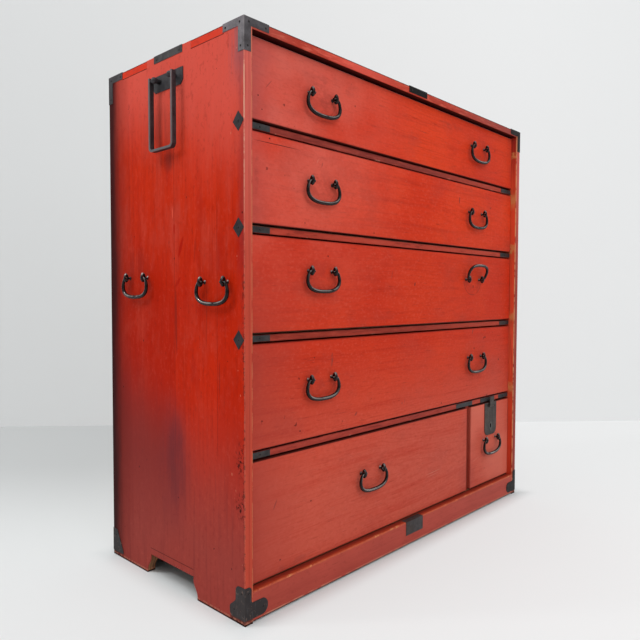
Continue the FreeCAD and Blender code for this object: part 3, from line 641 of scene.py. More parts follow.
def lacquered_side(name, outer):
    """Upright grain in three glued planks: faded at the top and brightened there by painted light, dusty below, black
    at the rear, soiled by use, with painted shade under the chest and along its foot.
    """
    f = Finish(name, 0.03)
    seed = 21 if outer < 0 else 47
    streaks, fine, pores, clouds = grain(f, "z", seed)
    smears = f.noise((30, 30, 4), seed + 29, detail=4, rough=0.6)
    threads = f.noise((150, 150, 7), seed + 33, detail=4, rough=0.65)
    specks = f.noise((170, 170, 110), seed + 35, detail=3, rough=0.6)
    inward = CASE_RIGHT - abs(f.x)
    back = f.y - CASE_FRONT
    lines = f.rings("z", CASE_FRONT + 0.178, 0.02, 0.06, 9 * MM, seed)
    f.colour = f.blend(f.rise(clouds, 0.34, 0.66), (0.57, 0.02, 0.002), (0.48, 0.013, 0.001))
    f.coat(f.between(back, 0.067, 0.185, 0.4 * MM), 0.35, (0.64, 0.028, 0.005))
    f.coat(f.rise(back, 0.1, 0.36), 0.36, (0.34, 0.011, 0.002))
    # Brighter red towards the top: painted light
    f.coat(f.rise(f.z + (clouds - 0.5) * 0.12, 0.48, 0.74), 0.62, (0.66, 0.034, 0.006))
    mottle = f.noise((20, 20, 7), seed + 51, detail=4, rough=0.62)
    f.coat(f.rise(mottle, 0.48, 0.64) * f.rise(f.z, 0.42, 0.6), 0.42, (0.56, 0.058, 0.034))
    f.coat(f.rise(mottle, 0.45, 0.32), 0.45, (0.45, 0.009, 0.001))
    f.coat(lines, 0.14, (0.34, 0.008, 0.002))
    f.coat(f.rise(streaks, 0.46, 0.68), 0.2, (0.3, 0.009, 0.003))
    f.coat(f.rise(threads, 0.5, 0.68), 0.13, (0.24, 0.008, 0.003))
    f.coat(f.rise(threads, 0.44, 0.3), 0.2, (0.62, 0.066, 0.032))
    haze_and_sheen = f.noise((15, 15, 10), seed + 53, detail=5, rough=0.66)
    f.coat(f.rise(haze_and_sheen, 0.49, 0.66) * f.rise(f.z, 0.22, 0.4), 0.24, (0.52, 0.066, 0.042))
    f.coat(f.rise(haze_and_sheen, 0.46, 0.3), 0.3, (0.44, 0.008, 0.001))
    f.coat(f.rise(fine, 0.53, 0.75), 0.18, (0.26, 0.009, 0.003))
    f.coat(f.rise(pores, 0.66, 0.78), 0.35, (0.14, 0.008, 0.004))
    # Pinkish and faded at the top: fading and a painted sheen from above
    fade_and_top_light = f.z + ((clouds - 0.5) * 0.16 + (smears - 0.5) * 0.1)
    fade_and_top_light = f.rise(fade_and_top_light - back * 0.16, 0.66, 0.84)
    f.coat(fade_and_top_light, 0.8, (0.73, 0.102, 0.072))
    flecks = f.rise(f.noise((75, 75, 40), seed + 31, detail=5, rough=0.68), 0.56, 0.7)
    f.coat(flecks * f.rise(f.z, 0.6, 0.85), 0.36, (0.36, 0.024, 0.015))
    low = f.rise(f.z + (clouds - 0.5) * 0.16, 0.36, 0.08)
    f.coat(low, 0.82, (0.32, 0.06, 0.048))
    f.coat(low * f.rise(threads, 0.5, 0.66), 0.3, (0.19, 0.026, 0.024))
    f.coat(f.rise(specks, 0.56, 0.72), 0.24, (0.17, 0.014, 0.01))
    f.coat(f.rise(specks, 0.46, 0.3), 0.15, (0.6, 0.1, 0.07))
    for seam, foot, head in ((0.067, 0.3, 0.62), (0.185, 0.2, 0.75)):
        line = f.near(back, seam, 1.2 * MM) * f.between(f.z, foot, head, 0.1)
        f.coat(line, 0.6, DEEP_RED)
    for along, height, half_long, half_wide, degrees, strength, tone in SIDE_MARKS:
        mark = f.slant(back, f.z, (along * MM, height * MM), half_long, half_wide, degrees)
        f.coat(mark, strength, tone)
    stain = haze_and_sheen * 0.4 + (smears * 0.4 + threads * 0.2)
    damp_and_shade = f.spot((0, CASE_FRONT + 0.196, 0.225), (None, 0.07, 0.15)) * f.rise(stain, 0.3, 0.62)
    f.coat(damp_and_shade, 0.42, (0.15, 0.03, 0.038))
    damp_and_shade = f.spot((0, CASE_FRONT + 0.184, 0.228), (None, 0.034, 0.095)) * f.rise(stain, 0.26, 0.64)
    f.coat(damp_and_shade, 0.62, (0.12, 0.026, 0.036))
    sloped = f.z + ((CASE_REAR - f.y) * 0.42 + (stain - 0.5) * 0.16)
    corner = f.rise(sloped, 0.48, 0.28) * f.rise(f.z, 0.02, 0.24) * f.rise(back, 0.1, 0.28)
    f.coat(corner, 0.68, (0.19, 0.028, 0.026))
    # Dark smudges; the one under the pole loop is partly the loop's painted shadow
    for along, height, wide, tall, strength in ((0.202, 0.744, 0.03, 0.026, 0.6), (0.08, 0.56, 0.05, 0.06, 0.16),
                                                (0.3, 0.565, 0.042, 0.04, 0.35), (0.225, 0.8, 0.04, 0.05, 0.4)):
        soil_and_shadow = f.spot((0, CASE_FRONT + along, height), (None, wide, tall))
        f.coat(soil_and_shadow * f.rise(smears * 0.6 + threads * 0.4, 0.34, 0.6), strength, (0.13, 0.018, 0.016))
    soot = f.rise(back + (threads - 0.5) * 0.09, 0.048, 0.002) * f.rise(f.z + (threads - 0.5) * 0.08, 0.8, 0.88)
    f.coat(soot, 0.62, (0.27, 0.11, 0.125))
    band = f.rise(back + (threads - 0.5) * 0.02, 0.02, 0.006) * f.between(f.z, 0.46, 0.84, 0.08)
    f.coat(band * f.rise(smears, 0.3, 0.58), 0.45, (0.22, 0.03, 0.036))
    dashes = f.rise(f.noise((90, 140, 110), seed + 45, detail=4, rough=0.7), 0.5, 0.58)
    edge_soil = f.rise(back + (smears - 0.5) * 0.012, 0.007, 0.001) * dashes
    f.coat(edge_soil * f.rise(f.z, 0.66, 0.5), 0.7, GRIME)
    for height, tall in ((0.258, 0.034), (0.186, 0.026)):
        bruise = f.spot((0, CASE_FRONT + 0.011, height), (None, 0.014, tall)) * dashes
        f.coat(bruise, 0.95, (0.03, 0.007, 0.006))
    rear = CASE_REAR - f.y + (smears - 0.5) * 0.026
    f.coat(f.rise(rear, 0.095, 0.01), 0.62, (0.13, 0.009, 0.006))
    f.coat(f.rise(rear, 0.042, 0.008), 0.9, (0.02, 0.005, 0.006))
    nicks = f.rise(f.noise((130, 130, 80), seed + 37, detail=1, rough=0.3), 0.77, 0.8) * f.rise(back, 0.05, 0.02)
    f.coat(nicks, 0.55, (0.66, 0.27, 0.17))
    dots = f.rise(f.noise(110, seed + 41, detail=1, rough=0.3), 0.785, 0.81)
    f.coat(dots, 0.75, NEARLY_BLACK)
    score = f.near(f.z, 49 * MM, 1.1 * MM) * f.between(back, 0.136, 0.265, 3 * MM)
    f.coat(score, 0.85, NEARLY_BLACK)
    inner = f.edge(inward, 14.6, 15.3)
    wall_tone = f.blend(f.rise(f.z, 0.78, 0.9), (0.8, 0.088, 0.035), (0.4, 0.036, 0.022))
    wall_tone = f.paint(wall_tone, f.near(f.z, 0.39, 0.12), 0.55, (0.98, 0.15, 0.07))
    wall_tone = f.paint(wall_tone, f.rise(f.z, 0.3, 0.16), 0.45, (0.58, 0.046, 0.022))
    wall_tone = f.paint(wall_tone, f.rise(threads, 0.46, 0.66), 0.45, (0.26, 0.02, 0.012))
    f.coat(inner, 1.0, wall_tone)
    # Painted shade on the inner face below the floor board
    f.coat(inner * f.rise(f.z, UNDERSIDE, UNDERSIDE - 4 * MM), 0.95, PAINTED_SHADE_BLACK)
    bare_edge = f.z + (f.noise(60, seed + 49, detail=4, rough=0.65) - 0.5) * 0.05
    for height, half in ((0.752, 0.024), (0.632, 0.012), (0.459, 0.012), (0.277, 0.016), (0.865, 0.01)):
        f.coat(f.near(bare_edge, height, half) * inner, 0.8, TAN_WOOD)
    strip = f.edge(back, 1.3, 0.8)
    foot_tone = (0.54, 0.072, 0.042) if outer < 0 else (0.34, 0.06, 0.045)
    strip_tone = f.blend(f.rise(f.z, 0.5, 0.84), foot_tone, (0.64, 0.126, 0.1))
    strip_tone = f.paint(strip_tone, f.rise(streaks, 0.45, 0.7), 0.4, (0.36, 0.044, 0.03))
    strip_tone = f.paint(strip_tone, f.rise(fine, 0.52, 0.72), 0.35, (0.28, 0.03, 0.02))
    strip_tone = f.paint(strip_tone, f.near(inward, 9.5 * MM, 1.2 * MM), 0.4, (0.2, 0.022, 0.016))
    strip_tone = f.paint(strip_tone, f.edge(inward, 13.5, 16), 0.35, DEEP_RED)
    f.colour = f.blend(strip, f.colour, strip_tone)
    broken = f.rise(f.noise((30, 30, 46), seed + 43, detail=5, rough=0.7), 0.4, 0.54)
    outer_arris = f.edge(back, 1.7, 0.8) * f.edge(inward, 1.7, 0.8)
    high_wear = f.rise(f.z + (clouds - 0.5) * 0.25, 0.56, 0.84)
    wear = (0.1 + broken * 0.9) * (0.1 + high_wear * 0.9)
    f.coat(outer_arris * (dashes * f.rise(f.z, 0.66, 0.5)), 0.7, GRIME)
    f.coat(outer_arris * wear, 0.85, CREAM)
    inner_arris = f.edge(back, 2.6, 1.2) * f.edge(inward, 13.6, 14.8)
    strength = 0.9 if outer > 0 else 0.25
    f.coat(inner_arris * broken, strength, (0.76, 0.36, 0.17))
    arch = f.between(back, 0.121, 0.279, 1 * MM) * f.edge(f.z, 43, 41)
    arch = arch * f.between(inward, 1.6 * MM, 14.4 * MM, 0.6 * MM)
    end_grain = f.blend(f.rise(f.noise((220, 30, 12), seed + 47, detail=3), 0.35, 0.65), (0.33, 0.17, 0.085),
                        (0.16, 0.066, 0.034))
    f.colour = f.blend(arch, f.colour, end_grain)
    under_iron = f.edge(f.z, 9, 7) * f.rise(back, 0.04, 0.032)
    f.coat(under_iron, 0.85, (0.09, 0.03, 0.024))
    f.coat(f.between(f.z, 3.2 * MM, 5.4 * MM, 1.2 * MM) * f.rise(specks, 0.4, 0.55), 0.6, (0.5, 0.2, 0.13))
    # Painted contact shadow along the foot
    f.coat(f.edge(f.z, 3.4, 2.0), 0.92, (0.014, 0.006, 0.005))
    rough = 0.36 + f.noise((14, 14, 10), 31, detail=4) * 0.25
    height = fine * 0.5 + streaks * 0.8 + f.most(f.most(dots, nicks), score) * -1.0
    f.bumped(height, 0.2, 0.8 * MM)
    return f.done(rough)


def aged_wood(name, run, seed, tone, damp_and_shade=False, planks=0):
    """Bare planed softwood with brown growth lines; black with painted shade under the chest, or in upright planks.
    """
    f = Finish(name, 0.25)
    streaks, fine, pores, clouds = grain(f, run, seed)
    lines = f.rings(run, 0.2, 0.05, 0.05, 11 * MM, seed)
    f.colour = f.blend(f.rise(clouds, 0.3, 0.7), tone, shade(tone, 0.75))
    f.coat(lines, 0.35, shade(tone, 0.5))
    f.coat(f.rise(streaks, 0.44, 0.68), 0.6, shade(tone, 0.45))
    f.coat(f.rise(fine, 0.5, 0.75), 0.45, shade(tone, 0.5))
    f.coat(f.rise(pores, 0.66, 0.8), 0.5, (0.1, 0.06, 0.035))
    # Painted shade on the underside, beneath the chest
    if damp_and_shade:
        f.coat(f.rise(f.z, UNDERSIDE + 1.2 * MM, UNDERSIDE + 0.4 * MM), 0.95, (0.02, 0.013, 0.009))
    if planks:
        along = (f.x - LEFT_WALL) * (planks / (RIGHT_WALL - LEFT_WALL))
        dark = f.sums("SINE", f.sums("FLOOR", along) * 2.4)
        f.coat(f.rise(dark, -0.2, 1.0), 0.45, shade(tone, 0.55))
        seam = abs(along - f.sums("ROUND", along))
        f.coat(f.rise(seam, 0.02, 0.006), 0.85, (0.03, 0.019, 0.012))
    rough = 0.58 + fine * 0.2
    f.bumped(fine * 0.6 + streaks * 0.8, 0.3, 0.8 * MM)
    return f.done(rough)


def sheet_iron(name, tone, seed, rust=0.35, black_above=None, ground=0.65, gloss=0.3, bright_from=None, marks=()):
    """Blackened sheet iron, mottled, browner and specked near the ground, with file marks.

    Above one height its front is blacker to the right, as painted shade, and its arris lighter with wear and a
    painted highlight; beyond a distance from the chest's middle it is rubbed bright.
    """
    f = Finish(name, gloss)
    mottle = f.noise(60, seed, detail=5, rough=0.65)
    patch = f.noise(18, seed + 3, detail=4, rough=0.6)
    pits = f.noise(420, seed + 5, detail=2, rough=0.5)
    filed = f.noise((500, 500, 40), seed + 7, detail=2, rough=0.5)
    f.colour = f.blend(f.rise(mottle, 0.3, 0.7), shade(tone, 0.65), shade(tone, 1.4))
    f.coat(f.rise(patch, 0.52, 0.72), rust, (0.085, 0.045, 0.03))
    f.coat(f.rise(f.z, 0.2, 0.06), ground, (0.028, 0.021, 0.02))
    f.coat(f.rise(pits, 0.6, 0.75), 0.4, (0.012, 0.011, 0.012))
    f.coat(f.rise(filed, 0.62, 0.74), 0.3, shade(tone, 1.9))
    if black_above is not None:
        inward = CASE_RIGHT + IRON_THICKNESS - abs(f.x)
        back = f.y - (CASE_FRONT - IRON_THICKNESS)
        on_front = f.edge(back, 1.2, 0.6) * f.edge(inward, 0.8, 2.0)
        on_front = on_front * f.rise(f.z, black_above - 0.2, black_above)
        # Painted shade: the front goes blacker above one height, blackest towards the right
        f.coat(on_front, 0.35, (0.024, 0.022, 0.024))
        f.coat(on_front * f.rise(f.x, -0.3, 0.0), 0.92, (0.009, 0.008, 0.008))
        f.coat(f.rise(f.y, 0.02, 0.19), 0.7, (0.018, 0.016, 0.017))
        # A lighter arris higher up: wear and a painted highlight
        arris = f.edge(inward, 1.5, 0.5) * f.edge(back, 1.5, 0.5)
        wear_and_highlight = f.rise(f.z, 0.4, 0.8) * f.rise(mottle, 0.35, 0.6)
        f.coat(arris * wear_and_highlight, 0.55, (0.26, 0.24, 0.24))
    chafed = f.rise(f.noise(130, seed + 9, detail=4, rough=0.7), 0.58, 0.7)
    f.coat(chafed * (f.rise(f.z, 0.075, 0.055) * ground), 0.6, (0.26, 0.165, 0.125))
    if bright_from is not None:
        outer = f.rise(abs(f.x), bright_from - 0.4 * MM, bright_from)
        f.coat(outer * f.rise(mottle, 0.15, 0.45), 0.9, (0.165, 0.15, 0.155))
    for across, height, half_long, half_wide, degrees, strength, dark in marks:
        centre = CASE_LEFT + across * MM, height * MM
        f.coat(f.slant(f.x, f.z, centre, half_long, half_wide, degrees), strength, dark)
    rough = 0.42 + mottle * 0.25
    f.shader.inputs["Metallic"].default_value = 0.45
    f.bumped(mottle + (pits * 0.5 + filed * 0.3), 0.25, 0.5 * MM)
    return f.done(rough)


def forged_iron(name, seed, bare_and_highlight_ways, begin=0.87):
    """Brown-black forged iron with bare metal on the faces turned given ways: partly wear from hands, partly a
    painted highlight.
    """
    f = Finish(name, 0.22)
    mottle = f.noise(150, seed, detail=4, rough=0.6)
    patch = f.noise(45, seed + 3, detail=3, rough=0.6)
    f.colour = f.blend(f.rise(mottle, 0.3, 0.7), (0.004, 0.0025, 0.0023), (0.011, 0.006, 0.0055))
    f.coat(f.rise(patch, 0.55, 0.75), 0.45, (0.03, 0.011, 0.008))
    bare_and_highlight = 0.0
    for way in bare_and_highlight_ways:
        bare_and_highlight = f.most(bare_and_highlight, f.turned_to(way, begin, 0.98))
    bare_and_highlight = bare_and_highlight * f.rise(patch, 0.66, 0.42)
    # Bare metal: wear and painted highlight
    f.coat(bare_and_highlight, 0.92, (0.42, 0.37, 0.35))
    f.feed(f.shader.inputs["Metallic"], bare_and_highlight * 0.85)
    rough = 0.16 + mottle * 0.16
    f.bumped(mottle, 0.1, 0.3 * MM)
    return f.done(rough)


# Case boards

# From the lowest divider to the highest; the darkest, under the top drawer, carries painted shade from that drawer
DIVIDER_TONES = ((0.41, 0.050, 0.033), (0.33, 0.037, 0.021), (0.50, 0.056, 0.032), (0.270, 0.038, 0.027))
DIVIDERS = ["divider_board_" + str(number) for number in range(1, 5)]


def make_case():
    for side, outer in (("left", -1), ("right", 1)):
        lacquer = lacquered_side(side + "_side_lacquer", outer)
        dressed(side + "_side_panel", side + "_side", 1.1, lacquer, "case")
    dressed("top_panel", "top_board", 0.8, lacquered_top(5), "case")
    dressed("base_rail", "front_base_rail", 0.9, lacquered_rail(9), "case")
    rows = sorted(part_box(node)[0].z for node in DIVIDERS)
    for number, node in enumerate(DIVIDERS, 1):
        tone = DIVIDER_TONES[rows.index(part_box(node)[0].z)]
        lacquer = lacquered_divider(node, 60 + 7 * number, tone)
        dressed(node, "divider_" + str(number), 0.7, lacquer, "case")
    f, _, rough = lacquered_board("partition_lacquer", "z", 95, (0.26, 0.026, 0.012), (0.12, 0.010, 0.006))
    dressed("partition_panel", "partition", 0.7, f.done(rough), "case")
    back = aged_wood("back_wood", "z", 70, (0.42, 0.27, 0.15), planks=6)
    floor = aged_wood("floor_board_wood", "x", 74, (0.40, 0.26, 0.14), damp_and_shade=True)
    for node, wood in (("back_planks", back), ("floor_board", floor)):
        dressed(node, node + "_planed", 0.6, wood, "case")


# Drawers

DARK, BRUISE, PALE_SCRATCH = (0.030, 0.010, 0.009), (0.20, 0.040, 0.036), (0.62, 0.24, 0.17)
# Old marks on each front: millimetres from the case's left side and from the ground, half length, half width, slant
# in degrees, strength, tone
MARKS = {
    "top_drawer": (
        (39, 821, 1.7, 1.6, 0, 0.9, DARK), (47, 801, 1.5, 1.3, 0, 0.8, DARK), (61, 843, 12, 1.0, 47, 0.5, BRUISE),
        (179, 876, 26, 13, 20, 0.22, BRUISE), (258, 876, 16, 10, 0, 0.18, BRUISE),
        (600, 884, 60, 10, 0, 0.25, BRUISE), (190, 842, 15, 12, 30, 0.20, BRUISE)),
    "second_drawer": (
        (80, 752, 56, 0.7, 0.6, 0.9, DARK), (63, 759, 2.1, 1.7, 0, 0.95, DARK), (185, 736, 6, 1.2, 70, 0.5, BRUISE),
        (174, 741, 5, 0.9, 62, 0.5, PALE_SCRATCH), (143, 633, 1.5, 1.4, 0, 0.8, DARK),
        (330, 630, 2.0, 1.6, 0, 0.8, DARK), (640, 727, 9.5, 1.9, 84, 0.85, (0.07, 0.03, 0.028)),
        (36, 700, 34, 6, 88, 0.25, BRUISE)),
    "third_drawer": (
        (201, 580, 2.2, 1.7, 0, 0.7, DARK), (388, 552, 12, 1.1, 78, 0.5, BRUISE),
        (467, 535, 5.0, 2.0, 72, 0.85, (0.05, 0.025, 0.022))),
    "fourth_drawer": (
        (212, 397, 15, 4.2, 86, 0.75, (0.17, 0.052, 0.040)), (279, 291, 5.5, 2.6, 40, 0.65, BRUISE),
        (132, 282, 2.2, 1.7, 0, 0.8, DARK), (706, 428, 10, 2.6, 66, 0.65, BRUISE),
        (425, 293, 3.2, 2.0, 70, 0.6, BRUISE), (434, 296, 6, 0.9, 80, 0.5, BRUISE)),
    "wide_drawer": (
        (75, 170, 11, 1.7, 62, 0.6, BRUISE), (159, 156, 2.2, 1.8, 0, 0.8, DARK), (86, 75, 2.2, 1.8, 0, 0.7, DARK),
        (545, 127, 34, 0.9, 3, 0.5, PALE_SCRATCH), (540, 121, 30, 0.7, 3, 0.4, PALE_SCRATCH),
        (110, 62, 60, 7, 4, 0.25, BRUISE)),
    "small_drawer": ((770, 90, 1.8, 1.5, 0, 0.7, DARK), (730, 120, 24, 0.8, 12, 0.4, PALE_SCRATCH)),
}
# Height of the heart line of each front's board
HEARTS = {"top_drawer": 0.83, "second_drawer": 0.67, "third_drawer": 0.50, "fourth_drawer": 0.34,
          "wide_drawer": 0.155, "small_drawer": 0.11}


def make_drawers():
    wall_wood = aged_wood("drawer_wall_wood", "y", 80, (0.50, 0.35, 0.20))
    floor_wood = aged_wood("drawer_floor_wood", "x", 84, (0.48, 0.34, 0.20))
    for number, name in enumerate(FULL_DRAWERS + LOW_DRAWERS):
        lacquer = lacquered_front(name, 100 + 9 * number, HEARTS[name], MARKS[name])
        dressed(name + "_front", name + "_face", 0.9, lacquer, name)
        for part, wood in (("_walls", wall_wood), ("_floor", floor_wood)):
            dressed(name + part, name + part + "_planed", 0.5, wood, name)


# Handles

# Half of a bail from its pin to the middle of its grip: out from its middle and down, and its radius, in millimetres
BAIL_LINE = ((23.0, 0.0, 2.35), (28.0, 0.0, 2.35), (33.2, 0.0, 2.35), (36.4, 2.4, 2.45), (38.8, 7.6, 2.75),
             (40.6, 15.0, 3.05), (39.0, 23.5, 3.25), (31.0, 31.0, 3.4), (16.0, 34.4, 3.45), (0.0, 34.8, 3.45))
RAISED_LEAN = math.radians(20)


def make_bail(name, pivot, along, down, finish):
    """A bail hung in two eyes: along is the line of its pins, down the way it hangs."""
    whole = [(-out, drop, radius) for out, drop, radius in BAIL_LINE] + list(BAIL_LINE[-2::-1])
    path = [pivot + along * (out * MM) + down * (drop * MM) for out, drop, radius in whole]
    bar = forged_bar(name + "_bar", path, [radius for out, drop, radius in whole])
    return finished(bar, finish, name, name)


def make_eye_post(shank, clinched):
    """A forged eye on a neck and a small round shoulder at y = 0, pointing to -Y, with its shank behind."""
    base = turned("post_base", [(0, 0), (3.3, 0), (3.5, -0.3), (3.0, -0.8), (2.3, -1.4), (1.9, -2.8), (1.9, -4.6),
                                (1.9, -5.4), (0, -5.4)])
    eye = ringed("post_eye", 2.75, 4.7, 2.9, -9, 2.05, 1.65)
    if clinched:
        end = [(2.4, shank), (4.6, shank), (5.0, shank + 0.7), (4.2, shank + 1.8), (0, shank + 2.0)]
    else:
        end = [(2.0, shank - 1), (0, shank)]
    return joined("post", [base, eye, turned("post_shank", [(0, -0.5), (2.4, -0.5)] + end)])


def make_handles():
    # The bails' front and upper faces and the tops of the eyes carry painted highlights as well as wear
    bar_iron = forged_iron("bail_iron", 200, ((0, -0.88, 0.47),))
    side_iron = forged_iron("side_bail_iron", 215, ((-0.88, 0, 0.47), (0.88, 0, 0.47)))
    post_iron = forged_iron("post_iron", 230, ((-0.3, -0.3, 0.9), (0.3, -0.3, 0.9)), 0.45)
    drawer_post = make_eye_post(18, True)
    side_post = make_eye_post(11.5, False)
    groups = {}
    for joint in frame["joints"]:
        name = joint["child"]
        if "_bail_" not in name:
            continue
        pivot = Vector(joint["pos_m"])
        down = Vector((0, 0, -1))
        if "_side_" in name:
            sign = -1 if name.startswith("left") else 1
            along = Vector((0, 1, 0))
            turn = Matrix.Rotation(math.radians(90 * sign), 4, "Z")
            seat = pivot - Vector((sign * BAIL_STANDOFF, 0, 0))
            node, pattern, iron = "side_bail_posts", side_post, side_iron
        else:
            along = Vector((1, 0, 0))
            if name == RAISED_BAIL:
                down = Vector((0, -math.sin(RAISED_LEAN), math.cos(RAISED_LEAN)))
            turn = Matrix.Identity(4)
            seat = pivot + Vector((0, BAIL_STANDOFF, 0))
            node, pattern, iron = name.split("_bail_")[0] + "_bail_posts", drawer_post, bar_iron
        make_bail(name, pivot, along, down, iron)
        for end in (-POST_SPREAD, POST_SPREAD):
            groups.setdefault(node, []).append(copy_at(pattern, Matrix.Translation(seat + along * end) @ turn))
    for node, posts in groups.items():
        body = "case" if node == "side_bail_posts" else node.replace("_bail_posts", "")
        finished(joined(node.replace("posts", "eyes"), posts), post_iron, body, node)
    for pattern in (drawer_post, side_post):
        bpy.data.objects.remove(pattern)
    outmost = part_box("right_pole_loop")[1].x - 1.2 * MM
    loop_iron = sheet_iron("loop_iron", (0.044, 0.039, 0.044), 260, 0.15, bright_from=outmost)
    loop_edge = sheet_iron("loop_edge_iron", (0.130, 0.118, 0.125), 265, 0.15, bright_from=outmost)
    mount_iron = sheet_iron("loop_mount_iron", (0.050, 0.047, 0.052), 270)
    for side in ("left", "right"):
        node = side + "_pole_loop"
        dressed(node, node + "_strap", 0.9, (loop_iron, loop_edge), node, 3)
    dressed("pole_loop_mounts", "pole_loop_plates", 0.4, mount_iron, "case")


# Sheet irons and lock

# Marks round the keyhole, measured as those on the fronts; the near-black one is painted shade inside the keyhole
KEY_MARKS = (
    (797, 190, 13, 10, 90, 0.60, (0.125, 0.120, 0.112)), (796, 190.5, 6.0, 4.6, 90, 0.97, (0.005, 0.004, 0.004)),
    (790, 184, 9, 1.8, 115, 0.85, (0.010, 0.009, 0.009)), (790, 200, 7, 1.6, 60, 0.75, (0.014, 0.013, 0.012)),
    (784, 215, 30, 4.0, 88, 0.30, (0.105, 0.100, 0.092)), (806, 222, 24, 3.0, 92, 0.45, (0.022, 0.019, 0.018)))
NAIL_TURNS = {"-y": 0, "-x": -90, "+x": 90, "+y": 180}


def nailed(piece, places, iron):
    """Drives domed nails into a sheet iron: places are points with the axis they face, and the iron is theirs."""
    pattern = turned("nail", [(0, 0.2), (1.75, 0.2), (1.8, -0.1), (1.5, -0.55), (0.9, -0.9), (0, -1.0)], 16)
    pattern.data.materials.append(iron)
    nails = []
    for place, facing in places:
        turn = Matrix.Rotation(math.radians(NAIL_TURNS[facing]), 4, "Z")
        nails.append(copy_at(pattern, Matrix.Translation(place) @ turn))
    bpy.data.objects.remove(pattern)
    return joined(piece.name, [piece] + nails)


def mirrored(places):
    """The same places on both sides of the chest."""
    other = {"-x": "+x", "+x": "-x"}
    return places + [(Vector((-place.x, place.y, place.z)), other.get(facing, facing)) for place, facing in places]


def make_irons():
    corner = sheet_iron("corner_iron", (0.138, 0.126, 0.136), 300, 0.25, 0.0, 0.88)
    plate = sheet_iron("plate_iron", (0.066, 0.061, 0.062), 320, 0.35, 0.6, 0.0, 0.15)
    bar_plate = sheet_iron("divider_iron", (0.046, 0.044, 0.046), 325)
    diamond = sheet_iron("diamond_iron", (0.034, 0.030, 0.034), 330, 0.2)
    rubbed = sheet_iron("rubbed_iron", (0.150, 0.138, 0.146), 335, 0.2)
    nail = sheet_iron("nail_iron", (0.030, 0.027, 0.028), 350, 0.5)
    front = CASE_FRONT - IRON_THICKNESS
    rear = CASE_REAR + IRON_THICKNESS
    out = CASE_LEFT - IRON_THICKNESS
    upper = CASE_TOP - 6.5 * MM

    def nail_at(x, y, z, facing):
        return Vector((x, y, z)), facing

    arms = []
    for reach in (9 * MM, 43 * MM):
        arms += [nail_at(CASE_LEFT + reach, front, upper, "-y"), nail_at(CASE_LEFT + reach, rear, upper, "+y"),
                 nail_at(out, CASE_FRONT + reach, upper, "-x"), nail_at(out, CASE_REAR - reach, upper, "-x")]
    inset = 7 * MM
    shoulder = 884 * MM
    for height in (shoulder, 50 * MM):
        arms += [nail_at(CASE_LEFT + inset, front, height, "-y"), nail_at(out, CASE_FRONT + inset, height, "-x")]
    arms += [nail_at(CASE_LEFT + inset, rear, shoulder, "+y"), nail_at(out, CASE_REAR - inset, shoulder, "-x"),
             nail_at(CASE_LEFT + 38 * MM, front, 20 * MM, "-y"), nail_at(out, CASE_FRONT + 26 * MM, 20 * MM, "-x"),
             nail_at(out, CASE_REAR - 9 * MM, 40 * MM, "-x")]
    middle = (CASE_FRONT + CASE_REAR) / 2
    edges = mirrored([nail_at(out, middle + reach * MM, upper, "-x") for reach in (-34, 34)])
    edges += [nail_at(across * MM, front, upper, "-y") for across in (-22, 30)]
    bars = []
    for node in DIVIDERS:
        low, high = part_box(node)
        bars.append(nail_at(LEFT_WALL + 29 * MM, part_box("divider_plates")[0].y, (low.z + high.z) / 2, "-y"))
    diamonds = [nail_at(out, CASE_FRONT + 13.3 * MM, height * MM, "-x") for height in (774, 614.25, 443)]
    for node, iron, places, round_off in (("corner_irons", corner, mirrored(arms), 0.35),
                                          ("edge_plates", plate, edges, 0.35),
                                          ("divider_plates", bar_plate, mirrored(bars), 0.35),
                                          ("diamond_plates", diamond, mirrored(diamonds), 0.6)):
        nailed(dressed(node, node + "_worn", round_off, (iron, rubbed), "case"), places, nail)
    lock = sheet_iron("lock_iron", (0.066, 0.056, 0.051), 340, 0.6, marks=KEY_MARKS)
    dressed("lock_plate", "lock_plate_worn", 0.4, lock, "small_drawer")
    dressed("lock_case", "lock_box", 0.6, lock, "small_drawer")
    dressed("lock_tongue", "lock_hasp", 0.4, lock, "lock_tongue")


# Floor, wall, light and camera

VIEW_TURN, VIEW_DIP, VIEW_ROLL = math.radians(46.804), math.radians(-2.294), math.radians(0.165)
VIEW_FROM = Vector((-1.05985, -0.92093, 0.51192))
VIEW_LENS, VIEW_SENSOR = 34.972, 36
GROUND_SIZE = 14
WALL_AWAY, WALL_SKEW, WALL_WIDTH, WALL_HEIGHT = 2.46, math.radians(3.5), 12, 3
SKY_LIGHT, SKY_SEEN = 0.40, 0.80


def pale(name, tone, share):
    """Matt pale paper; the camera and reflections see so great a share of its own tone, so that it stays white."""
    f = Finish(name, 0.2)
    f.colour = f.blend(f.noise(1.2, 7, detail=2), (0.755, 0.785, 0.79), (0.775, 0.805, 0.81))
    f.done(0.9)
    path = f.add("ShaderNodeLightPath").outputs
    seen = f.most(path["Is Camera Ray"], f.most(path["Is Glossy Ray"], path["Is Transmission Ray"]))
    glow = f.add("ShaderNodeEmission")
    f.feed(glow.inputs["Color"], tone(f))
    return f, shown(f, seen * share(f), f.shader.outputs[0], glow.outputs[0])


def shown(f, share, first, second):
    """Shows a mix of two shaders on the surface."""
    mix = f.add("ShaderNodeMixShader")
    for socket, value in zip(mix.inputs, (share, first, second)):
        f.feed(socket, value)
    f.feed(f.tree.nodes["Material Output"].inputs["Surface"], mix.outputs[0])
    return mix.outputs[0]


def across_view(f):
    """Place from left to right of the photographer's view, in metres."""
    return f.x * math.cos(VIEW_TURN) - f.y * math.sin(VIEW_TURN)


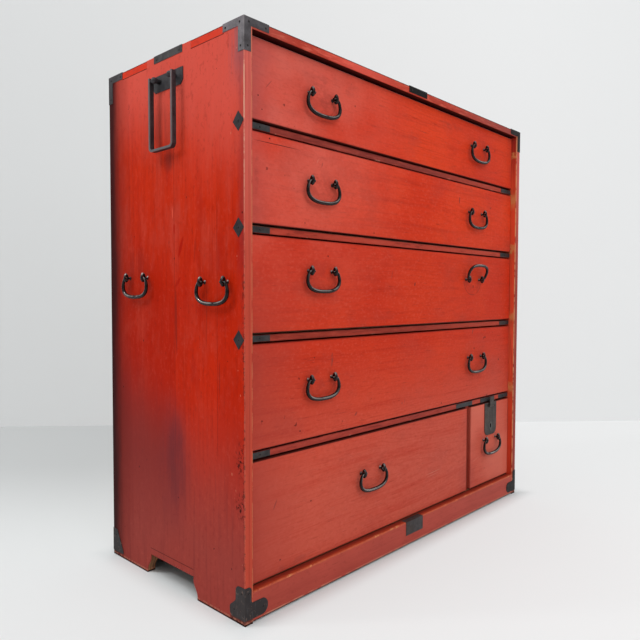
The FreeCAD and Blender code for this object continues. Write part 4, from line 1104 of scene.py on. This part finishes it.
def pale_ground():
    """Its own tone fades out under the chest and round its foot, so the shadow stays."""
    def clear_of_chest(f):
        off = f.most(f.y - CASE_REAR, CASE_FRONT - f.y)
        return f.rise(f.most(abs(f.x) - CASE_RIGHT, off), -0.012, 0.05) * 0.66

    # Painted shade: the ground's own tone darkens towards the left of the view, most of all far off to the left
    def darker_far_left(f):
        tone = f.blend(f.rise(across_view(f), -1.0, 0.9), (0.800, 0.812, 0.812), (0.960, 0.960, 0.960))
        away = f.x * math.sin(VIEW_TURN) + f.y * math.cos(VIEW_TURN)
        far_left = f.rise(away, -0.25, 0.50) * f.rise(across_view(f), 0.0, -0.80)
        return f.paint(tone, far_left, 0.95, (0.49, 0.495, 0.495))

    return pale("ground_paper", darker_far_left, clear_of_chest)[0].material


def pale_wall():
    """A wall seen from the room only, a little darker to the left."""
    def shaded(f):
        return f.blend(f.rise(across_view(f), -1.6, 0.9), (0.615, 0.61, 0.61), (0.925, 0.92, 0.92))

    f, surface = pale("wall_paper", shaded, lambda f: 0.55)
    behind = f.add("ShaderNodeNewGeometry").outputs["Backfacing"]
    shown(f, behind, surface, f.add("ShaderNodeBsdfTransparent").outputs[0])
    return f.material


def make_stage():
    leave_all()
    bpy.ops.mesh.primitive_plane_add(size=GROUND_SIZE, location=(0, 0, 0))
    ground = bpy.context.object
    ground.name = "ground"
    ground.data.materials.append(pale_ground())
    foot = VIEW_FROM + Vector((math.sin(VIEW_TURN), math.cos(VIEW_TURN), 0)) * WALL_AWAY
    leave_all()
    bpy.ops.mesh.primitive_plane_add(size=1)
    wall = bpy.context.object
    wall.name = "wall"
    upright = Matrix.Rotation(WALL_SKEW - VIEW_TURN, 4, "Z") @ Matrix.Rotation(math.radians(90), 4, "X")
    spread = Matrix.Diagonal((WALL_WIDTH, WALL_HEIGHT, 1, 1))
    wall.matrix_world = Matrix.Translation((foot.x, foot.y, WALL_HEIGHT / 2)) @ upright @ spread
    bpy.ops.object.transform_apply(location=True, rotation=True, scale=True)
    wall.data.materials.append(pale_wall())


def soft_light(name, place, aim, size, power, mirrored=True):
    """A square window of light; one that is not mirrored leaves no shine of its own on iron and lacquer."""
    light = bpy.data.lights.new(name, "AREA")
    light.shape = "SQUARE"
    light.size = size
    light.energy = power
    lamp = bpy.data.objects.new(name, light)
    scene.collection.objects.link(lamp)
    lamp.location = place
    lamp.rotation_mode = "QUATERNION"
    lamp.rotation_quaternion = (Vector(aim) - Vector(place)).to_track_quat("-Z", "Y")
    lamp.visible_glossy = mirrored


def make_light():
    scene.world = bpy.data.worlds.new("studio")
    scene.world.use_nodes = True
    tree = scene.world.node_tree
    sky = tree.nodes["Background"]
    sky.inputs[0].default_value = (1.0, 1.0, 1.0, 1)
    path = tree.nodes.new("ShaderNodeLightPath")
    level = tree.nodes.new("ShaderNodeMapRange")
    level.inputs["To Min"].default_value = SKY_LIGHT
    level.inputs["To Max"].default_value = SKY_SEEN
    tree.links.new(path.outputs["Is Camera Ray"], level.inputs["Value"])
    tree.links.new(level.outputs["Result"], sky.inputs[1])
    soft_light("front_window", (-0.1, -2.9, 2.1), (0, 0, 0.45), 3.2, 34, False)
    soft_light("window_pane", (-1.3, -2.2, 2.2), (0, 0, 0.5), 1.3, 12)
    soft_light("left_window", (-1.75, 0.5, 2.9), (-0.3, 0, 0.5), 1.0, 20)
    soft_light("left_pane", (-2.4, 1.5, 2.5), (-0.45, 0, 0.55), 0.3, 19)
    soft_light("overhead", (-0.4, -0.6, 3.4), (0, 0, 0), 2.4, 13)


def make_camera():
    camera = bpy.data.objects.new("camera", bpy.data.cameras.new("camera"))
    scene.collection.objects.link(camera)
    camera.data.sensor_width = VIEW_SENSOR
    camera.data.lens = VIEW_LENS
    tilted = Matrix.Rotation(math.radians(90) + VIEW_DIP, 4, "X") @ Matrix.Rotation(VIEW_ROLL, 4, "Z")
    camera.matrix_world = Matrix.Translation(VIEW_FROM) @ Matrix.Rotation(-VIEW_TURN, 4, "Z") @ tilted
    scene.camera = camera


make_case()
make_drawers()
make_handles()
make_irons()
make_stage()
make_light()
make_camera()
